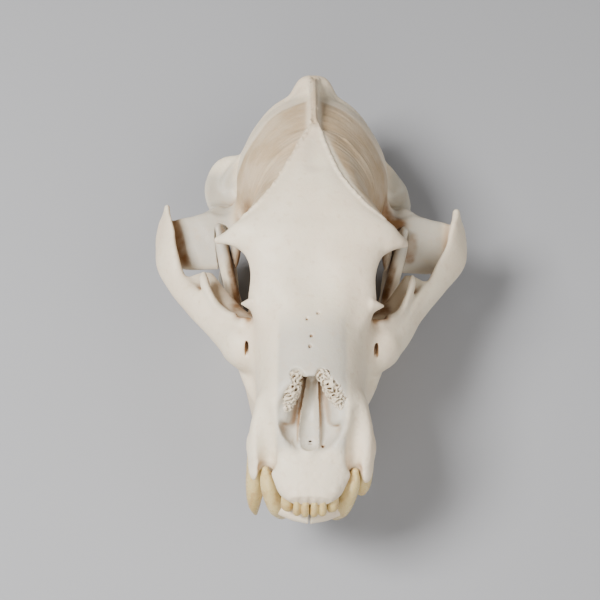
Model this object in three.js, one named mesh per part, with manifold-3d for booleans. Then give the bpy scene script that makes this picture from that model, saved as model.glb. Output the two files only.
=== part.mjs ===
// Skull of an adult black bear with its lower jaw closed, resting as it lies on a table.
import * as THREE from 'three';
import { mergeVertices } from 'three/addons/utils/BufferGeometryUtils.js';
import { edgeTable, triTable } from 'three/addons/objects/MarchingCubes.js';
import Module from 'manifold-3d';

const wasm = await Module();
wasm.setup();

// Driving dimensions in millimetres and degrees. In the skull's own frame x is the distance to the side,
// y runs back from the front of the upper jaw, and z is the height over the lowest edge of the lower jaw.
const CREST_END_Y = 282;
const ARCH_HALF = 96.5;
const POSTORBITAL_HALF = 55.5;
const BRAINCASE_HALF = 48;
const CANINE_HALF = 34;
const NASAL_TIP = { y: 46, z: 107.5 };
const FORK = { y: 203, z: 154 };
const INION_Z = 133;
const PALATE_Z = 60;
const BITE_Z = 49.6;
const NOSE_UP = 15;
const REST_POINT = { y: 140, z: 3.5 };
const UPPER_GUM = { front: 58, cheek: 56 };
const LOWER_GUM = { front: 42, cheek: 43 };
const BITE_GAP = 0.5;
const OVERBITE = { down: 2, back: 5.5 };
const CUT_GAP = 0.3;
const JAW_CLEARANCE = 1;

// Places of the thin cuts that part the cranium.
const FOREHEAD_CUT_Y = 160;
const CHEEK_FRONT_CUT = { x: 55, y: 107, z: 78, turn: 46 };
const CHEEK_REAR_CUT = { x: 66.5, y: 182, z: 88 };

// Fineness of the surfaces.
const GRID_STEP = 2.0;
const CRANIUM_TRIANGLES = 6000;
const JAW_TRIANGLES = 1300;
const FAR = 60;
const MARGIN = 12;
const CRANIUM_BOX = { low: [-104, -6, 44], high: [104, 292, 164] };
const HALF_JAW_BOX = { low: [-2, -4, -4], high: [92, 218, 116] };

// Finish of bone.
const BONE = { color: 0xe6dfcf, roughness: 0.62, metalness: 0 };

// Smooth union of two distances, rounded over the width k, and the matching cut.
function join(a, b, k) {
  const h = Math.max(k - Math.abs(a - b), 0) / k;
  return Math.min(a, b) - h * h * k / 4;
}

function carve(a, b, k) {
  return -join(-a, b, k);
}

// Nearly true distance to an oval of the given radii, from the offset to its middle.
function ovalDistance(x, y, z, rx, ry, rz) {
  const level = Math.sqrt((x / rx) ** 2 + (y / ry) ** 2 + (z / rz) ** 2);
  const slope = Math.sqrt((x / rx ** 2) ** 2 + (y / ry ** 2) ** 2 + (z / rz ** 2) ** 2);
  return slope > 1e-9 ? level * (level - 1) / slope : -Math.min(rx, ry, rz);
}

// Row of values at the parameter t of a table whose rows are spread evenly, on a smooth curve.
function splineRow(rows, t) {
  const span = THREE.MathUtils.clamp(Math.floor(t), 0, rows.length - 2);
  const u = t - span;
  const from = rows[span];
  const to = rows[span + 1];
  const before = rows[span - 1] ?? from.map((v, i) => 2 * v - to[i]);
  const after = rows[span + 2] ?? to.map((v, i) => 2 * v - from[i]);
  return from.map((v, i) => {
    const m0 = (to[i] - before[i]) / 2;
    const m1 = (after[i] - v) / 2;
    const du = u * u;
    const dv = du * u;
    return (2 * dv - 3 * du + 1) * v + (dv - 2 * du + u) * m0 + (3 * du - 2 * dv) * to[i] + (dv - du) * m1;
  });
}

// Row at the length y of a table whose first column is y.
function stationAt(rows, y) {
  let span = 0;
  while (span < rows.length - 2 && rows[span + 1][0] < y) span += 1;
  const from = rows[span];
  const to = rows[span + 1];
  const gap = to[0] - from[0];
  const u = THREE.MathUtils.clamp((y - from[0]) / gap, 0, 1);
  const before = rows[span - 1] ?? from;
  const after = rows[span + 2] ?? to;
  return from.map((v, i) => {
    const m0 = gap * (to[i] - before[i]) / (to[0] - before[0]);
    const m1 = gap * (after[i] - v) / (after[0] - from[0]);
    const du = u * u;
    const dv = du * u;
    return (2 * dv - 3 * du + 1) * v + (dv - 2 * du + u) * m0 + (3 * du - 2 * dv) * to[i] + (dv - du) * m1;
  });
}

// Body along y. A station is [y, half width, height of the widest line, top, bottom] and the squareness of
// the section above and below that line.
function loft(round, stations) {
  const start = stations[0][0];
  const end = stations[stations.length - 1][0];
  const rows = [];
  for (let y = start; y <= end + 1; y += 1) rows.push(stationAt(stations, Math.min(y, end)));
  const widest = Math.max(...rows.map((row) => row[1]));
  const low = [-MARGIN, start - MARGIN, Math.min(...rows.map((row) => row[4])) - MARGIN];
  const high = [widest + MARGIN, end + MARGIN, Math.max(...rows.map((row) => row[3])) + MARGIN];
  const mix = new Array(7);
  const distance = (x, y, z) => {
    const place = THREE.MathUtils.clamp(y, start, end) - start;
    const index = Math.min(Math.floor(place), rows.length - 2);
    const u = place - index;
    for (let i = 0; i < 7; i += 1) mix[i] = rows[index][i] * (1 - u) + rows[index + 1][i] * u;
    const [, width, middle, top, bottom, above, below] = mix;
    const rise = z - middle;
    const height = rise > 0 ? top - middle : middle - bottom;
    const power = rise > 0 ? above : below;
    const a = x / width;
    const b = Math.abs(rise) / height;
    const sum = a ** power + b ** power;
    const level = sum ** (1 / power);
    const slope = Math.sqrt((a ** (power - 1) / width) ** 2 + (b ** (power - 1) / height) ** 2);
    const section = slope > 1e-9 ? (level - 1) * level ** (power - 1) / slope : -Math.min(width, height);
    const beyond = Math.max(start - y, y - end);
    if (beyond > 0 && section > 0) return Math.hypot(beyond, section);
    return Math.max(section, beyond);
  };
  return { round, low, high, distance };
}

// Ribbon of oval section along a smooth curve. A station is [x, y, z, half height, half thickness] and the
// direction of the height, which is up where it is left out.
function ribbon(round, stations) {
  const table = stations.map((row) => (row.length > 5 ? row : [...row, 0, 0, 1]));
  const count = Math.max(1, Math.ceil((table.length - 1) * 7));
  const knots = [];
  for (let i = 0; i <= count; i += 1) knots.push(splineRow(table, i * (table.length - 1) / count));
  const low = [0, 1, 2].map((i) => Math.min(...knots.map((k) => k[i] - Math.max(k[3], k[4]))) - MARGIN);
  const high = [0, 1, 2].map((i) => Math.max(...knots.map((k) => k[i] + Math.max(k[3], k[4]))) + MARGIN);
  const point = new THREE.Vector3();
  const along = new THREE.Vector3();
  const lean = new THREE.Vector3();
  const across = new THREE.Vector3();
  const offset = new THREE.Vector3();
  const distance = (x, y, z) => {
    let best = Infinity;
    let at = 0;
    let share = 0;
    for (let i = 0; i < count; i += 1) {
      const a = knots[i];
      const b = knots[i + 1];
      const dx = b[0] - a[0];
      const dy = b[1] - a[1];
      const dz = b[2] - a[2];
      const t = ((x - a[0]) * dx + (y - a[1]) * dy + (z - a[2]) * dz) / (dx * dx + dy * dy + dz * dz);
      const u = Math.min(Math.max(t, 0), 1);
      const gap = (x - a[0] - u * dx) ** 2 + (y - a[1] - u * dy) ** 2 + (z - a[2] - u * dz) ** 2;
      if (gap < best) {
        best = gap;
        at = i;
        share = u;
      }
    }
    const a = knots[at];
    const b = knots[at + 1];
    const mix = (i) => a[i] + (b[i] - a[i]) * share;
    along.set(b[0] - a[0], b[1] - a[1], b[2] - a[2]).normalize();
    lean.set(mix(5), mix(6), mix(7));
    lean.addScaledVector(along, -lean.dot(along)).normalize();
    across.crossVectors(along, lean);
    point.set(mix(0), mix(1), mix(2));
    offset.set(x, y, z).sub(point);
    const height = mix(3);
    const thick = mix(4);
    const cap = Math.min(height, thick);
    return ovalDistance(offset.dot(lean), offset.dot(across), offset.dot(along), height, thick, cap);
  };
  return { round, low, high, distance };
}

// Oval lump with its middle and its radii.
function lump(round, middle, radii) {
  const low = middle.map((v, i) => v - radii[i] - MARGIN);
  const high = middle.map((v, i) => v + radii[i] + MARGIN);
  const distance = (x, y, z) =>
    ovalDistance(x - middle[0], y - middle[1], z - middle[2], radii[0], radii[1], radii[2]);
  return { round, low, high, distance };
}

// Distance to the bone that the forms make together, less the hollows cut in it. All are alike on both
// sides, apart from the one-sided forms.
function boneField(forms, hollows, inner = [], oneSided = []) {
  const near = ({ low, high }, x, y, z) =>
    x > low[0] && x < high[0] && y > low[1] && y < high[1] && z > low[2] && z < high[2];
  return (x, y, z) => {
    const side = Math.abs(x);
    let bone = FAR;
    for (const form of forms) {
      if (near(form, side, y, z)) bone = join(bone, form.distance(side, y, z), form.round);
    }
    for (const hollow of hollows) {
      if (near(hollow, side, y, z)) bone = carve(bone, hollow.distance(side, y, z), hollow.round);
    }
    for (const form of inner) {
      if (near(form, side, y, z)) bone = join(bone, form.distance(side, y, z), form.round);
    }
    for (const form of oneSided) {
      if (near(form, x, y, z)) bone = join(bone, form.distance(x, y, z), form.round);
    }
    return bone;
  };
}

// Lower canine, as the skull has to leave room for it. Stations of [x, y, z, half length, half width].
const LOWER_CANINE = [
  [15.5, 21, 28, 7, 6],
  [18, 14.5, 41, 6.6, 5.6],
  [21.2, 15.2, 53, 5.8, 5.2],
  [23.2, 17.6, 60, 4.6, 4],
  [24.2, 19.4, 65, 2, 1.8],
];

// Upper jaw, nose and the walls between the eye sockets.
const snout = loft(6, [
  [2, 11.5, 62, 66, 57, 2.2, 2.5],
  [7, 16.5, 62, 69, 56, 2.2, 3],
  [14, 20.5, 63, 74, 56, 2.2, 3],
  [22, 26, 64, 80, 57, 2.3, 3],
  [34, 31.5, 66, 96, 58, 2.4, 3],
  [NASAL_TIP.y, 30.5, 68, NASAL_TIP.z, 59, 2.4, 3],
  [60, 30, 70, 112, PALATE_Z, 2.4, 3],
  [76, 31.5, 72, 116.5, PALATE_Z, 2.4, 3],
  [92, 35, 74, 120.5, PALATE_Z, 2.4, 3],
  [106, 33, 80, 124, PALATE_Z, 2.3, 3],
  [120, 27, 84, 126, PALATE_Z + 1, 2.2, 3],
  [136, 24, 86, 130, PALATE_Z + 2, 2.2, 3],
  [160, 24, 90, 132, PALATE_Z + 3, 2.2, 3],
]);
const canineRoot = ribbon(7, [
  [CANINE_HALF - 8, 23, 60, 8, 8],
  [CANINE_HALF - 8, 32, 72, 7.5, 7.5],
  [CANINE_HALF - 10, 47, 86, 5.5, 5.5],
]);
const toothBed = ribbon(6, [
  [26, 66, 61, 5, 5],
  [31.5, 84, 60.5, 5.5, 7],
  [35, 105, 60.5, 5.5, 8],
  [34, 128, 61, 5.5, 7.5],
  [31, 142, 63, 4, 5],
]);

// Forehead, with the processes behind the eyes.
const forehead = loft(8, [
  [84, 22, 102, 108, 92, 2.2, 2.2],
  [94, 31, 106, 117, 92, 2.2, 2.2],
  [104, 36, 107, 124.5, 93, 2.3, 2.2],
  [116, 37, 113, 132.5, 100, 2.5, 2.2],
  [125, 39.5, 120, 137.8, 110, 2.7, 2.2],
  [131, 45, 124.5, 140.8, 116, 2.7, 2.2],
  [137, 49, 125.5, 142.8, 117, 2.6, 2.2],
  [144, 44, 124.5, 145.5, 112, 2.6, 2.2],
  [156, 37.5, 122, 149, 102, 2.6, 2.2],
  [170, 33, 116, 151, 92, 2.4, 2.2],
  [186, 27, 116, 152, 95, 2.2, 2.2],
  [FORK.y, 16, 125, 151, 105, 2.2, 2.2],
]);
const postorbital = ribbon(4, [
  [42, 133.5, 127.5, 4, 5.5],
  [49, 135.5, 126, 3.2, 4.2],
  [POSTORBITAL_HALF - 1.2, 137.5, 122.5, 2.2, 2.2],
]);

// Braincase, its crests, the back of the head and the flanges over the ears.
const braincase = loft(8, [
  [150, 31, 106, 140, 72, 2.0, 2.2],
  [166, 33, 104, 146, 70, 1.9, 2.2],
  [182, 39, 101, 149, 67, 1.8, 2.2],
  [202, 46, 98, 149, 65, 1.8, 2.2],
  [222, BRAINCASE_HALF, 96, 146, 64, 1.8, 2.2],
  [242, 46, 96, 141, 64, 1.8, 2.2],
  [256, 40, 96, 135, 66, 1.8, 2.2],
  [266, 32, 95, 128, 70, 1.9, 2.2],
]);
const sagittalCrest = ribbon(6, [
  [0, FORK.y - 6, FORK.z - 6, 4, 5],
  [0, 216, 149, 6, 3],
  [0, 240, 144.5, 7.5, 2.6],
  [0, 262, 137.5, 7.5, 3],
  [0, CREST_END_Y - 4, INION_Z - 4, 5, 6],
]);
const nuchalCrest = ribbon(6, [
  [0, CREST_END_Y - 3, INION_Z - 3.5, 5, 6, 0, 0.8, 0.6],
  [6, CREST_END_Y - 3.5, INION_Z - 4.2, 5, 5, 0.1, 0.8, 0.6],
  [12.5, CREST_END_Y - 9, 121, 5, 4, 0.25, 0.8, 0.55],
  [23, 267, 113.5, 7, 4, 0.4, 0.8, 0.4],
  [32.5, 259, 104, 7, 4, 0.6, 0.75, 0.3],
  [39.5, 250, 95, 6, 4, 0.65, 0.7, 0.3],
  [45.5, 241, 87, 6, 4.4, 0.8, 0.5, 0.3],
  [51, 230, 82, 6, 4.6, 0.95, 0.1, 0.25],
]);
const occiput = lump(8, [0, 254, 104], [34, 18, 27]);
const mastoid = ribbon(7, [
  [48, 236, 84, 11, 8, 0, 1, 0],
  [54, 236, 76, 12, 8, 0, 1, 0],
  [58, 236, 67, 9, 7, 0, 1, 0],
  [59, 235, 60, 5, 5, 0, 1, 0],
]);
const earFlangeRight = ribbon(4, [
  [-46, 249, 88, 5, 2.6, -0.6, 0.6, 0.5],
  [-56, 246, 84, 8, 2.8, -0.75, 0.45, 0.45],
  [-61, 238, 80.5, 8, 2.8, -0.88, 0.15, 0.45],
  [-62, 226, 78, 8, 2.8, -0.9, -0.05, 0.45],
  [-60, 215, 77, 7, 2.8, -0.85, -0.2, 0.45],
  [-58, 204, 82, 5, 3, -0.4, 0.3, 0.8],
]);
const earFlangeLeft = ribbon(4, [
  [48, 238, 84, 4, 2.6, 0.7, 0.5, 0.5],
  [55.5, 231, 79, 7, 2.6, 0.85, 0.2, 0.5],
  [56.5, 220, 77, 7, 2.8, 0.9, 0, 0.45],
  [57, 212, 76.5, 7, 2.8, 0.85, -0.2, 0.5],
  [58, 204, 82, 5, 3, 0.4, 0.3, 0.8],
]);
const skullBase = loft(8, [
  [146, 13, 72, 84, 65, 2.4, 2.6],
  [180, 18, 70, 84, 63, 2.4, 2.6],
  [205, 28, 70, 88, 62, 2.4, 2.6],
  [232, 40, 71, 92, 62, 2.4, 2.6],
  [252, 34, 72, 92, 64, 2.4, 2.6],
  [266, 22, 74, 92, 68, 2.4, 2.6],
]);
const bulla = lump(5, [27, 221, 65], [15, 17, 7]);
const earTube = ribbon(5, [[40, 222, 73, 8, 8], [58, 222, 74, 7, 7]]);
const condyle = ribbon(5, [
  [9, 265, 66, 7, 6],
  [17, 268, 72, 8.5, 7],
  [22, 264, 81, 7, 6],
]);
const paroccipital = ribbon(5, [
  [34, 250, 76, 8, 6],
  [37, 254, 64, 6, 5],
  [37.5, 255, 57, 3.5, 3],
]);
const pterygoid = ribbon(4, [
  [13, 140, 67, 5, 2.6],
  [12.5, 160, 66, 8, 2],
  [13, 178, 66, 9, 2],
  [14, 191, 64, 5, 2],
]);

// Cheekbone: its root on the upper jaw, the bar along the cheek, the shelf back to the braincase and the
// rim and floor of the eye socket.
const cheekRoot = lump(8, [38, 98, 78], [11, 15, 14]);
const cheekBar = ribbon(5, [
  [43, 98, 79, 11, 8, -0.25, 0.25, 0.93],
  [54, 112, 78.5, 10, 6, -0.35, 0.3, 0.9],
  [67, 129, 79, 10, 5, -0.42, 0.28, 0.87],
  [79, 147, 79.5, 10.5, 4, -0.45, 0.18, 0.87],
  [ARCH_HALF - 8.4, 164, 81, 11.5, 3.6, -0.45, 0.05, 0.88],
  [ARCH_HALF - 6.4, 178, 85, 12, 3.2, -0.42, 0.1, 0.9],
  [ARCH_HALF - 6.2, 188, 90, 10, 2.6, -0.25, 0.3, 0.92],
  [ARCH_HALF - 6.6, 195, 95.5, 4, 1.9, -0.1, 0.5, 0.86],
]);
const cheekShelf = ribbon(5, [
  [ARCH_HALF - 6, 180, 77, 14, 3, -0.05, 0.83, 0.56],
  [80, 180, 78.5, 17, 4, 0, 0.84, 0.54],
  [68, 180, 79.5, 18, 4.4, 0, 0.86, 0.5],
  [48, 181, 80.5, 18, 4.6, 0, 0.87, 0.49],
]);
const shelfRoot = ribbon(6, [
  [64, 189, 82, 11, 5, 0, 0.9, 0.43],
  [53, 196, 84, 13, 5.2, 0.1, 0.9, 0.43],
  [40, 203, 88, 14, 6, 0.2, 0.88, 0.43],
]);
const jawStop = lump(5, [55, 211, 75], [9.5, 4.5, 9]);
const socketRim = ribbon(3, [
  [39, 103, 92, 4.5, 3.6],
  [46.5, 109, 89, 4, 3.2],
  [55, 119, 87, 3.8, 3],
  [61, 130, 88, 4.2, 2.8],
  [63.5, 138, 91, 2.8, 2.2],
  [63.8, 141.5, 92.6, 1.4, 1.2],
]);
const socketFloor = ribbon(4, [
  [38, 110, 82, 9, 3.4, -0.5, 0.8, -0.3],
  [49, 121, 80, 11, 3.2, -0.66, 0.7, -0.25],
  [59, 135, 79.5, 10, 3, -0.75, 0.62, -0.2],
  [68, 149, 80, 6, 3, -0.85, 0.5, -0.1],
]);
const tearPoint = ribbon(2, [
  [33, 100.5, 109, 5, 3.5],
  [37, 101, 108.5, 2.6, 2],
  [39.6, 101.6, 108, 0.9, 0.9],
]);

// Openings and hollows of the skull, and what stands inside the nose.
const noseHole = ribbon(3, [
  [0, 14, 106, 19, 16.5, 0, 0.62, 0.78],
  [0, 35, 92, 19, 17.5, 0, 0.62, 0.78],
  [0, 60, 87, 17, 15, 0, 0.3, 0.95],
  [0, 100, 92, 13, 11],
]);
const vomer = ribbon(2, [
  [0, 25, 70, 6, 7, 0, -0.6, 0.8],
  [0, 40, 79, 8, 5.4, 0, -0.6, 0.8],
  [0, 58, 91, 8, 3.6, 0, -0.6, 0.8],
  [0, 85, 97, 8, 3, 0, -0.3, 0.9],
]);
const scroll = ribbon(3, [
  [13.5, 38, 86, 6, 3, 0.5, -0.5, 0.7],
  [12, 52, 94, 8, 4, 0.4, -0.5, 0.75],
  [9, 70, 100, 9, 5, 0.2, -0.3, 0.9],
]);
const nosePlug = lump(4, [0, 84, 98], [18, 16, 16]);
const eyeSocket = lump(3.5, [46.5, 122, 107.5], [17, 18.5, 17.5]);
const temple = ribbon(5, [
  [50, 148, 112, 9, 9],
  [46, 166, 104, 12, 11],
  [53, 184, 103, 10, 9],
]);
const earTrough = ribbon(4, [
  [47, 240, 97, 6, 5],
  [53, 228, 92, 7, 5.5],
  [53, 214, 92, 7, 5.5],
  [56, 200, 95, 6, 6],
]);
const canineEdge = ribbon(2.5, [
  [CANINE_HALF - 11, 21, 54, 5, 5],
  [CANINE_HALF - 3, 26, 54.5, 7, 8],
  [CANINE_HALF + 3, 34, 54, 5, 7],
]);
const noseNotch = ribbon(1.2, [[7, 36, 106, 4, 6], [8, 46, 107.2, 3.5, 4.5], [8, 50.7, 108.2, 2, 2.4]]);
const tearNotch = ribbon(1.5, [[38, 105, 104, 3, 3], [40, 107, 90, 3, 3]]);
const cheekCanal = ribbon(1, [[36.5, 74, 85, 3, 1.3], [36.5, 88, 87, 3.4, 1.4], [37, 104, 88, 3, 2]]);
const spinalHole = ribbon(3, [[0, 292, 80, 11, 13], [0, 262, 84, 11, 13], [0, 234, 88, 9, 11]]);
const throatHole = ribbon(2, [[0, 206, 68, 6, 10], [0, 160, 71, 6, 9.5], [0, 134, 74, 5, 8]]);
const earHole = ribbon(1.5, [[72, 222, 74, 3.4, 3.4], [48, 222, 74, 3.2, 3.2]]);
const jawSocket = ribbon(3, [
  [39, 202.6, 71.6, 7, 7],
  [58, 199.5, 73.2, 7.8, 7.4],
  [76, 196.4, 73.8, 7, 6.4],
]);
const palateHole = lump(1.5, [5.4, 31, 64], [2.6, 5.5, 14]);
const canineRoom = ribbon(3, LOWER_CANINE.map(([x, y, z, a, b]) => [x, y, z, a + 1.6, b + 1.6, 0, 1, 0]));

const craniumForms = [
  snout, forehead, braincase, skullBase, canineRoot, toothBed, postorbital, sagittalCrest, nuchalCrest,
  occiput, mastoid, bulla, earTube, condyle, paroccipital, pterygoid,
  cheekRoot, cheekBar, cheekShelf, shelfRoot, jawStop, socketRim, socketFloor,
];
const craniumHollows = [
  noseHole, noseNotch, eyeSocket, temple, earTrough, tearNotch, cheekCanal, spinalHole, throatHole,
  earHole, jawSocket, palateHole, canineEdge, canineRoom,
];
const insideNose = [nosePlug, vomer, scroll];
const craniumBone = boneField(
  craniumForms, craniumHollows, [...insideNose, tearPoint], [earFlangeRight, earFlangeLeft],
);

// Lower jaw, one half.
const jawBody = ribbon(6, [
  [17, 20, 37, 8, 7],
  [17.4, 31, 31, 14, 8.2],
  [18.2, 48, 27, 17, 8.2],
  [23, 75, 24, 19, 7.5],
  [29.5, 105, 22.5, 20, 7.5],
  [36, 130, 23, 20, 7],
  [43.5, 152, 27, 20, 6],
  [50, 170, 34, 18, 5],
]);
const chin = ribbon(6, [
  [6, 11, 39, 5, 7],
  [7, 26, 31, 11, 8],
  [6, 46, 24, 8, 6],
]);
const chinBar = ribbon(4, [
  [0, 7.2, 40.5, 5, 5.4],
  [10, 10, 41, 4.8, 5],
  [18, 14.5, 40.5, 5.4, 5.4],
]);
const coronoid = ribbon(6, [
  [50, 173, 40, 23, 4.6, 0, 1, 0],
  [51, 173, 58, 17, 3.8, 0, 1, 0],
  [53.5, 177, 76, 12, 3.4, 0, 1, 0],
  [56, 181, 89, 8, 3, 0, 1, 0],
  [58, 184, 96, 4.5, 2.4, 0, 1, 0],
]);
const coronoidEdge = ribbon(4, [
  [45, 146, 44, 5, 4.5],
  [48.5, 157, 62, 4, 4],
  [53, 166, 79, 3.4, 3.4],
  [56.5, 174, 92, 2.6, 2.6],
]);
const condyleNeck = ribbon(6, [[54, 186, 48, 11, 4.6, 0, 1, 0], [59, 197, 66, 7, 6, 0, 1, 0]]);
const jawCondyle = ribbon(4, [[43, 202, 71, 5.6, 5.6], [58, 199.5, 72.5, 6.6, 6.2], [70, 197.4, 73, 5.6, 5]]);
const angle = ribbon(6, [
  [53, 174, 26.4, 13, 4.6],
  [55, 192, 27, 9, 4.6],
  [57, 203, 24.8, 5, 4],
  [58, 209, 25.8, 3, 2.6],
]);
const chewingHollow = lump(4, [63, 180, 46], [9, 15, 20]);
const chinHole = lump(1, [28, 40, 28], [5, 2, 1.8]);

const jawForms = [jawBody, chin, chinBar, coronoid, coronoidEdge, condyleNeck, jawCondyle, angle];
const jawField = boneField(jawForms, [chewingHollow, chinHole]);
const halfJawField = (x, y, z) => Math.max(jawField(x, y, z), CUT_GAP / 2 - x);

// The cranium keeps clear of the closed jaw.
const craniumField = (x, y, z) => Math.max(craniumBone(x, y, z), JAW_CLEARANCE - jawField(x, y, z));

// Closed surface where the field is zero, on a grid between two corners.
function surfaceOf(field, low, high) {
  const size = low.map((v, i) => Math.ceil((high[i] - v) / GRID_STEP) + 1);
  const strides = [1, size[0], size[0] * size[1]];
  const values = new Float32Array(size[0] * size[1] * size[2]);
  for (let k = 0, at = 0; k < size[2]; k += 1) {
    for (let j = 0; j < size[1]; j += 1) {
      for (let i = 0; i < size[0]; i += 1, at += 1) {
        const value = field(low[0] + i * GRID_STEP, low[1] + j * GRID_STEP, low[2] + k * GRID_STEP);
        values[at] = Math.abs(value) < 1e-3 ? 1e-3 : value;
      }
    }
  }
  const corners = [[0, 0, 0], [1, 0, 0], [1, 1, 0], [0, 1, 0], [0, 0, 1], [1, 0, 1], [1, 1, 1], [0, 1, 1]];
  const edges = [
    [0, 1], [1, 2], [3, 2], [0, 3], [4, 5], [5, 6], [7, 6], [4, 7], [0, 4], [1, 5], [2, 6], [3, 7],
  ];
  const points = [];
  const triangles = [];
  const known = new Map();
  const pointOn = (cell, edge) => {
    const [from, to] = edges[edge].map((corner) => cell.map((v, i) => v + corners[corner][i]));
    const a = from[0] + from[1] * strides[1] + from[2] * strides[2];
    const b = to[0] + to[1] * strides[1] + to[2] * strides[2];
    const key = a * 3 + from.findIndex((v, i) => v !== to[i]);
    if (!known.has(key)) {
      const share = values[a] / (values[a] - values[b]);
      known.set(key, points.length);
      points.push(from.map((v, i) => low[i] + GRID_STEP * (v + share * (to[i] - v))));
    }
    return known.get(key);
  };
  for (let k = 0; k < size[2] - 1; k += 1) {
    for (let j = 0; j < size[1] - 1; j += 1) {
      for (let i = 0; i < size[0] - 1; i += 1) {
        let index = 0;
        for (let c = 0; c < 8; c += 1) {
          const [di, dj, dk] = corners[c];
          if (values[i + di + (j + dj) * strides[1] + (k + dk) * strides[2]] > 0) index |= 1 << c;
        }
        if (edgeTable[index] === 0) continue;
        for (let t = index * 16; triTable[t] !== -1; t += 3) {
          triangles.push([0, 1, 2].map((n) => pointOn([i, j, k], triTable[t + n])));
        }
      }
    }
  }
  return { points, triangles };
}

// Merges the edges of least error until few enough triangles are left, keeping the surface closed.
function simplify({ points, triangles }, wanted) {
  const quadrics = points.map(() => new Float64Array(10));
  const around = points.map(() => new Set());
  const normalOf = (a, b, c) => {
    const ux = b[0] - a[0];
    const uy = b[1] - a[1];
    const uz = b[2] - a[2];
    const vx = c[0] - a[0];
    const vy = c[1] - a[1];
    const vz = c[2] - a[2];
    return [uy * vz - uz * vy, uz * vx - ux * vz, ux * vy - uy * vx];
  };
  triangles.forEach((corner, face) => {
    const [a, b, c] = corner.map((v) => points[v]);
    const normal = normalOf(a, b, c);
    const length = Math.hypot(...normal) || 1;
    const [x, y, z] = normal.map((v) => v / length);
    const w = -(x * a[0] + y * a[1] + z * a[2]);
    const plane = [x * x, x * y, x * z, x * w, y * y, y * z, y * w, z * z, z * w, w * w];
    for (const v of corner) {
      around[v].add(face);
      for (let i = 0; i < 10; i += 1) quadrics[v][i] += plane[i] * length;
    }
  });
  const errorAt = (q, [x, y, z]) =>
    q[0] * x * x + 2 * q[1] * x * y + 2 * q[2] * x * z + 2 * q[3] * x + q[4] * y * y + 2 * q[5] * y * z
    + 2 * q[6] * y + q[7] * z * z + 2 * q[8] * z + q[9];
  const age = new Int32Array(points.length);
  const heap = [];
  const push = (entry) => {
    let at = heap.push(entry) - 1;
    while (at > 0) {
      const parent = (at - 1) >> 1;
      if (heap[parent].cost <= entry.cost) break;
      heap[at] = heap[parent];
      at = parent;
    }
    heap[at] = entry;
  };
  const pop = () => {
    const top = heap[0];
    const last = heap.pop();
    if (heap.length === 0) return top;
    let at = 0;
    for (;;) {
      let child = 2 * at + 1;
      if (child >= heap.length) break;
      if (child + 1 < heap.length && heap[child + 1].cost < heap[child].cost) child += 1;
      if (heap[child].cost >= last.cost) break;
      heap[at] = heap[child];
      at = child;
    }
    heap[at] = last;
    return top;
  };
  const offer = (a, b) => {
    const q = quadrics[a].map((v, i) => v + quadrics[b][i]);
    const det = q[0] * (q[4] * q[7] - q[5] * q[5]) - q[1] * (q[1] * q[7] - q[5] * q[2])
      + q[2] * (q[1] * q[5] - q[4] * q[2]);
    const middle = points[a].map((v, i) => (v + points[b][i]) / 2);
    const choices = [points[a], points[b], middle];
    if (Math.abs(det) > 1e-3) {
      const [r, s, t] = [-q[3], -q[6], -q[8]];
      const best = [
        (r * (q[4] * q[7] - q[5] * q[5]) - q[1] * (s * q[7] - q[5] * t) + q[2] * (s * q[5] - q[4] * t)) / det,
        (q[0] * (s * q[7] - q[5] * t) - r * (q[1] * q[7] - q[5] * q[2]) + q[2] * (q[1] * t - s * q[2])) / det,
        (q[0] * (q[4] * t - s * q[5]) - q[1] * (q[1] * t - s * q[2]) + r * (q[1] * q[5] - q[4] * q[2])) / det,
      ];
      const reach = Math.hypot(...points[a].map((v, i) => v - points[b][i]));
      if (Math.hypot(...best.map((v, i) => v - middle[i])) < 2 * reach) choices.push(best);
    }
    const errors = choices.map((place) => errorAt(q, place));
    const pick = errors.indexOf(Math.min(...errors));
    push({ cost: errors[pick], a, b, ageA: age[a], ageB: age[b], place: choices[pick] });
  };
  const neighbours = (v) => {
    const found = new Set();
    for (const face of around[v]) {
      for (const corner of triangles[face]) if (corner !== v) found.add(corner);
    }
    return found;
  };
  const flips = (v, other, place) => {
    for (const face of around[v]) {
      const corner = triangles[face];
      if (corner.includes(other)) continue;
      const old = normalOf(...corner.map((c) => points[c]));
      const fresh = normalOf(...corner.map((c) => (c === v ? place : points[c])));
      const dot = old[0] * fresh[0] + old[1] * fresh[1] + old[2] * fresh[2];
      if (dot < 0.25 * Math.hypot(...old) * Math.hypot(...fresh)) return true;
    }
    return false;
  };
  for (const [a, b, c] of triangles) {
    for (const [from, to] of [[a, b], [b, c], [c, a]]) if (from < to) offer(from, to);
  }
  let left = triangles.length;
  while (left > wanted && heap.length > 0) {
    const { a, b, ageA, ageB, place } = pop();
    if (age[a] !== ageA || age[b] !== ageB) continue;
    const beside = neighbours(b);
    const shared = [...neighbours(a)].filter((v) => beside.has(v));
    if (shared.length !== 2 || flips(a, b, place) || flips(b, a, place)) continue;
    points[a] = place;
    age[a] += 1;
    age[b] = -1;
    quadrics[a] = quadrics[a].map((v, i) => v + quadrics[b][i]);
    for (const face of around[b]) {
      const corner = triangles[face];
      if (corner.includes(a)) {
        for (const v of corner) if (v !== b) around[v].delete(face);
        triangles[face] = null;
        left -= 1;
      } else {
        triangles[face] = corner.map((v) => (v === b ? a : v));
        around[a].add(face);
      }
    }
    for (const v of neighbours(a)) offer(a, v);
  }
  const kept = triangles.filter((corner) => corner);
  const order = new Map();
  kept.flat().forEach((v) => order.has(v) || order.set(v, order.size));
  return {
    points: [...order.keys()].map((v) => points[v]),
    triangles: kept.map((corner) => corner.map((v) => order.get(v))),
  };
}

// Solids from lists of points and triangles, and from plain geometry.
function solidOf({ points, triangles }) {
  const mesh = new wasm.Mesh({
    numProp: 3,
    vertProperties: new Float32Array(points.flat()),
    triVerts: new Uint32Array(triangles.flat()),
  });
  return new wasm.Manifold(mesh);
}

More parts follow.
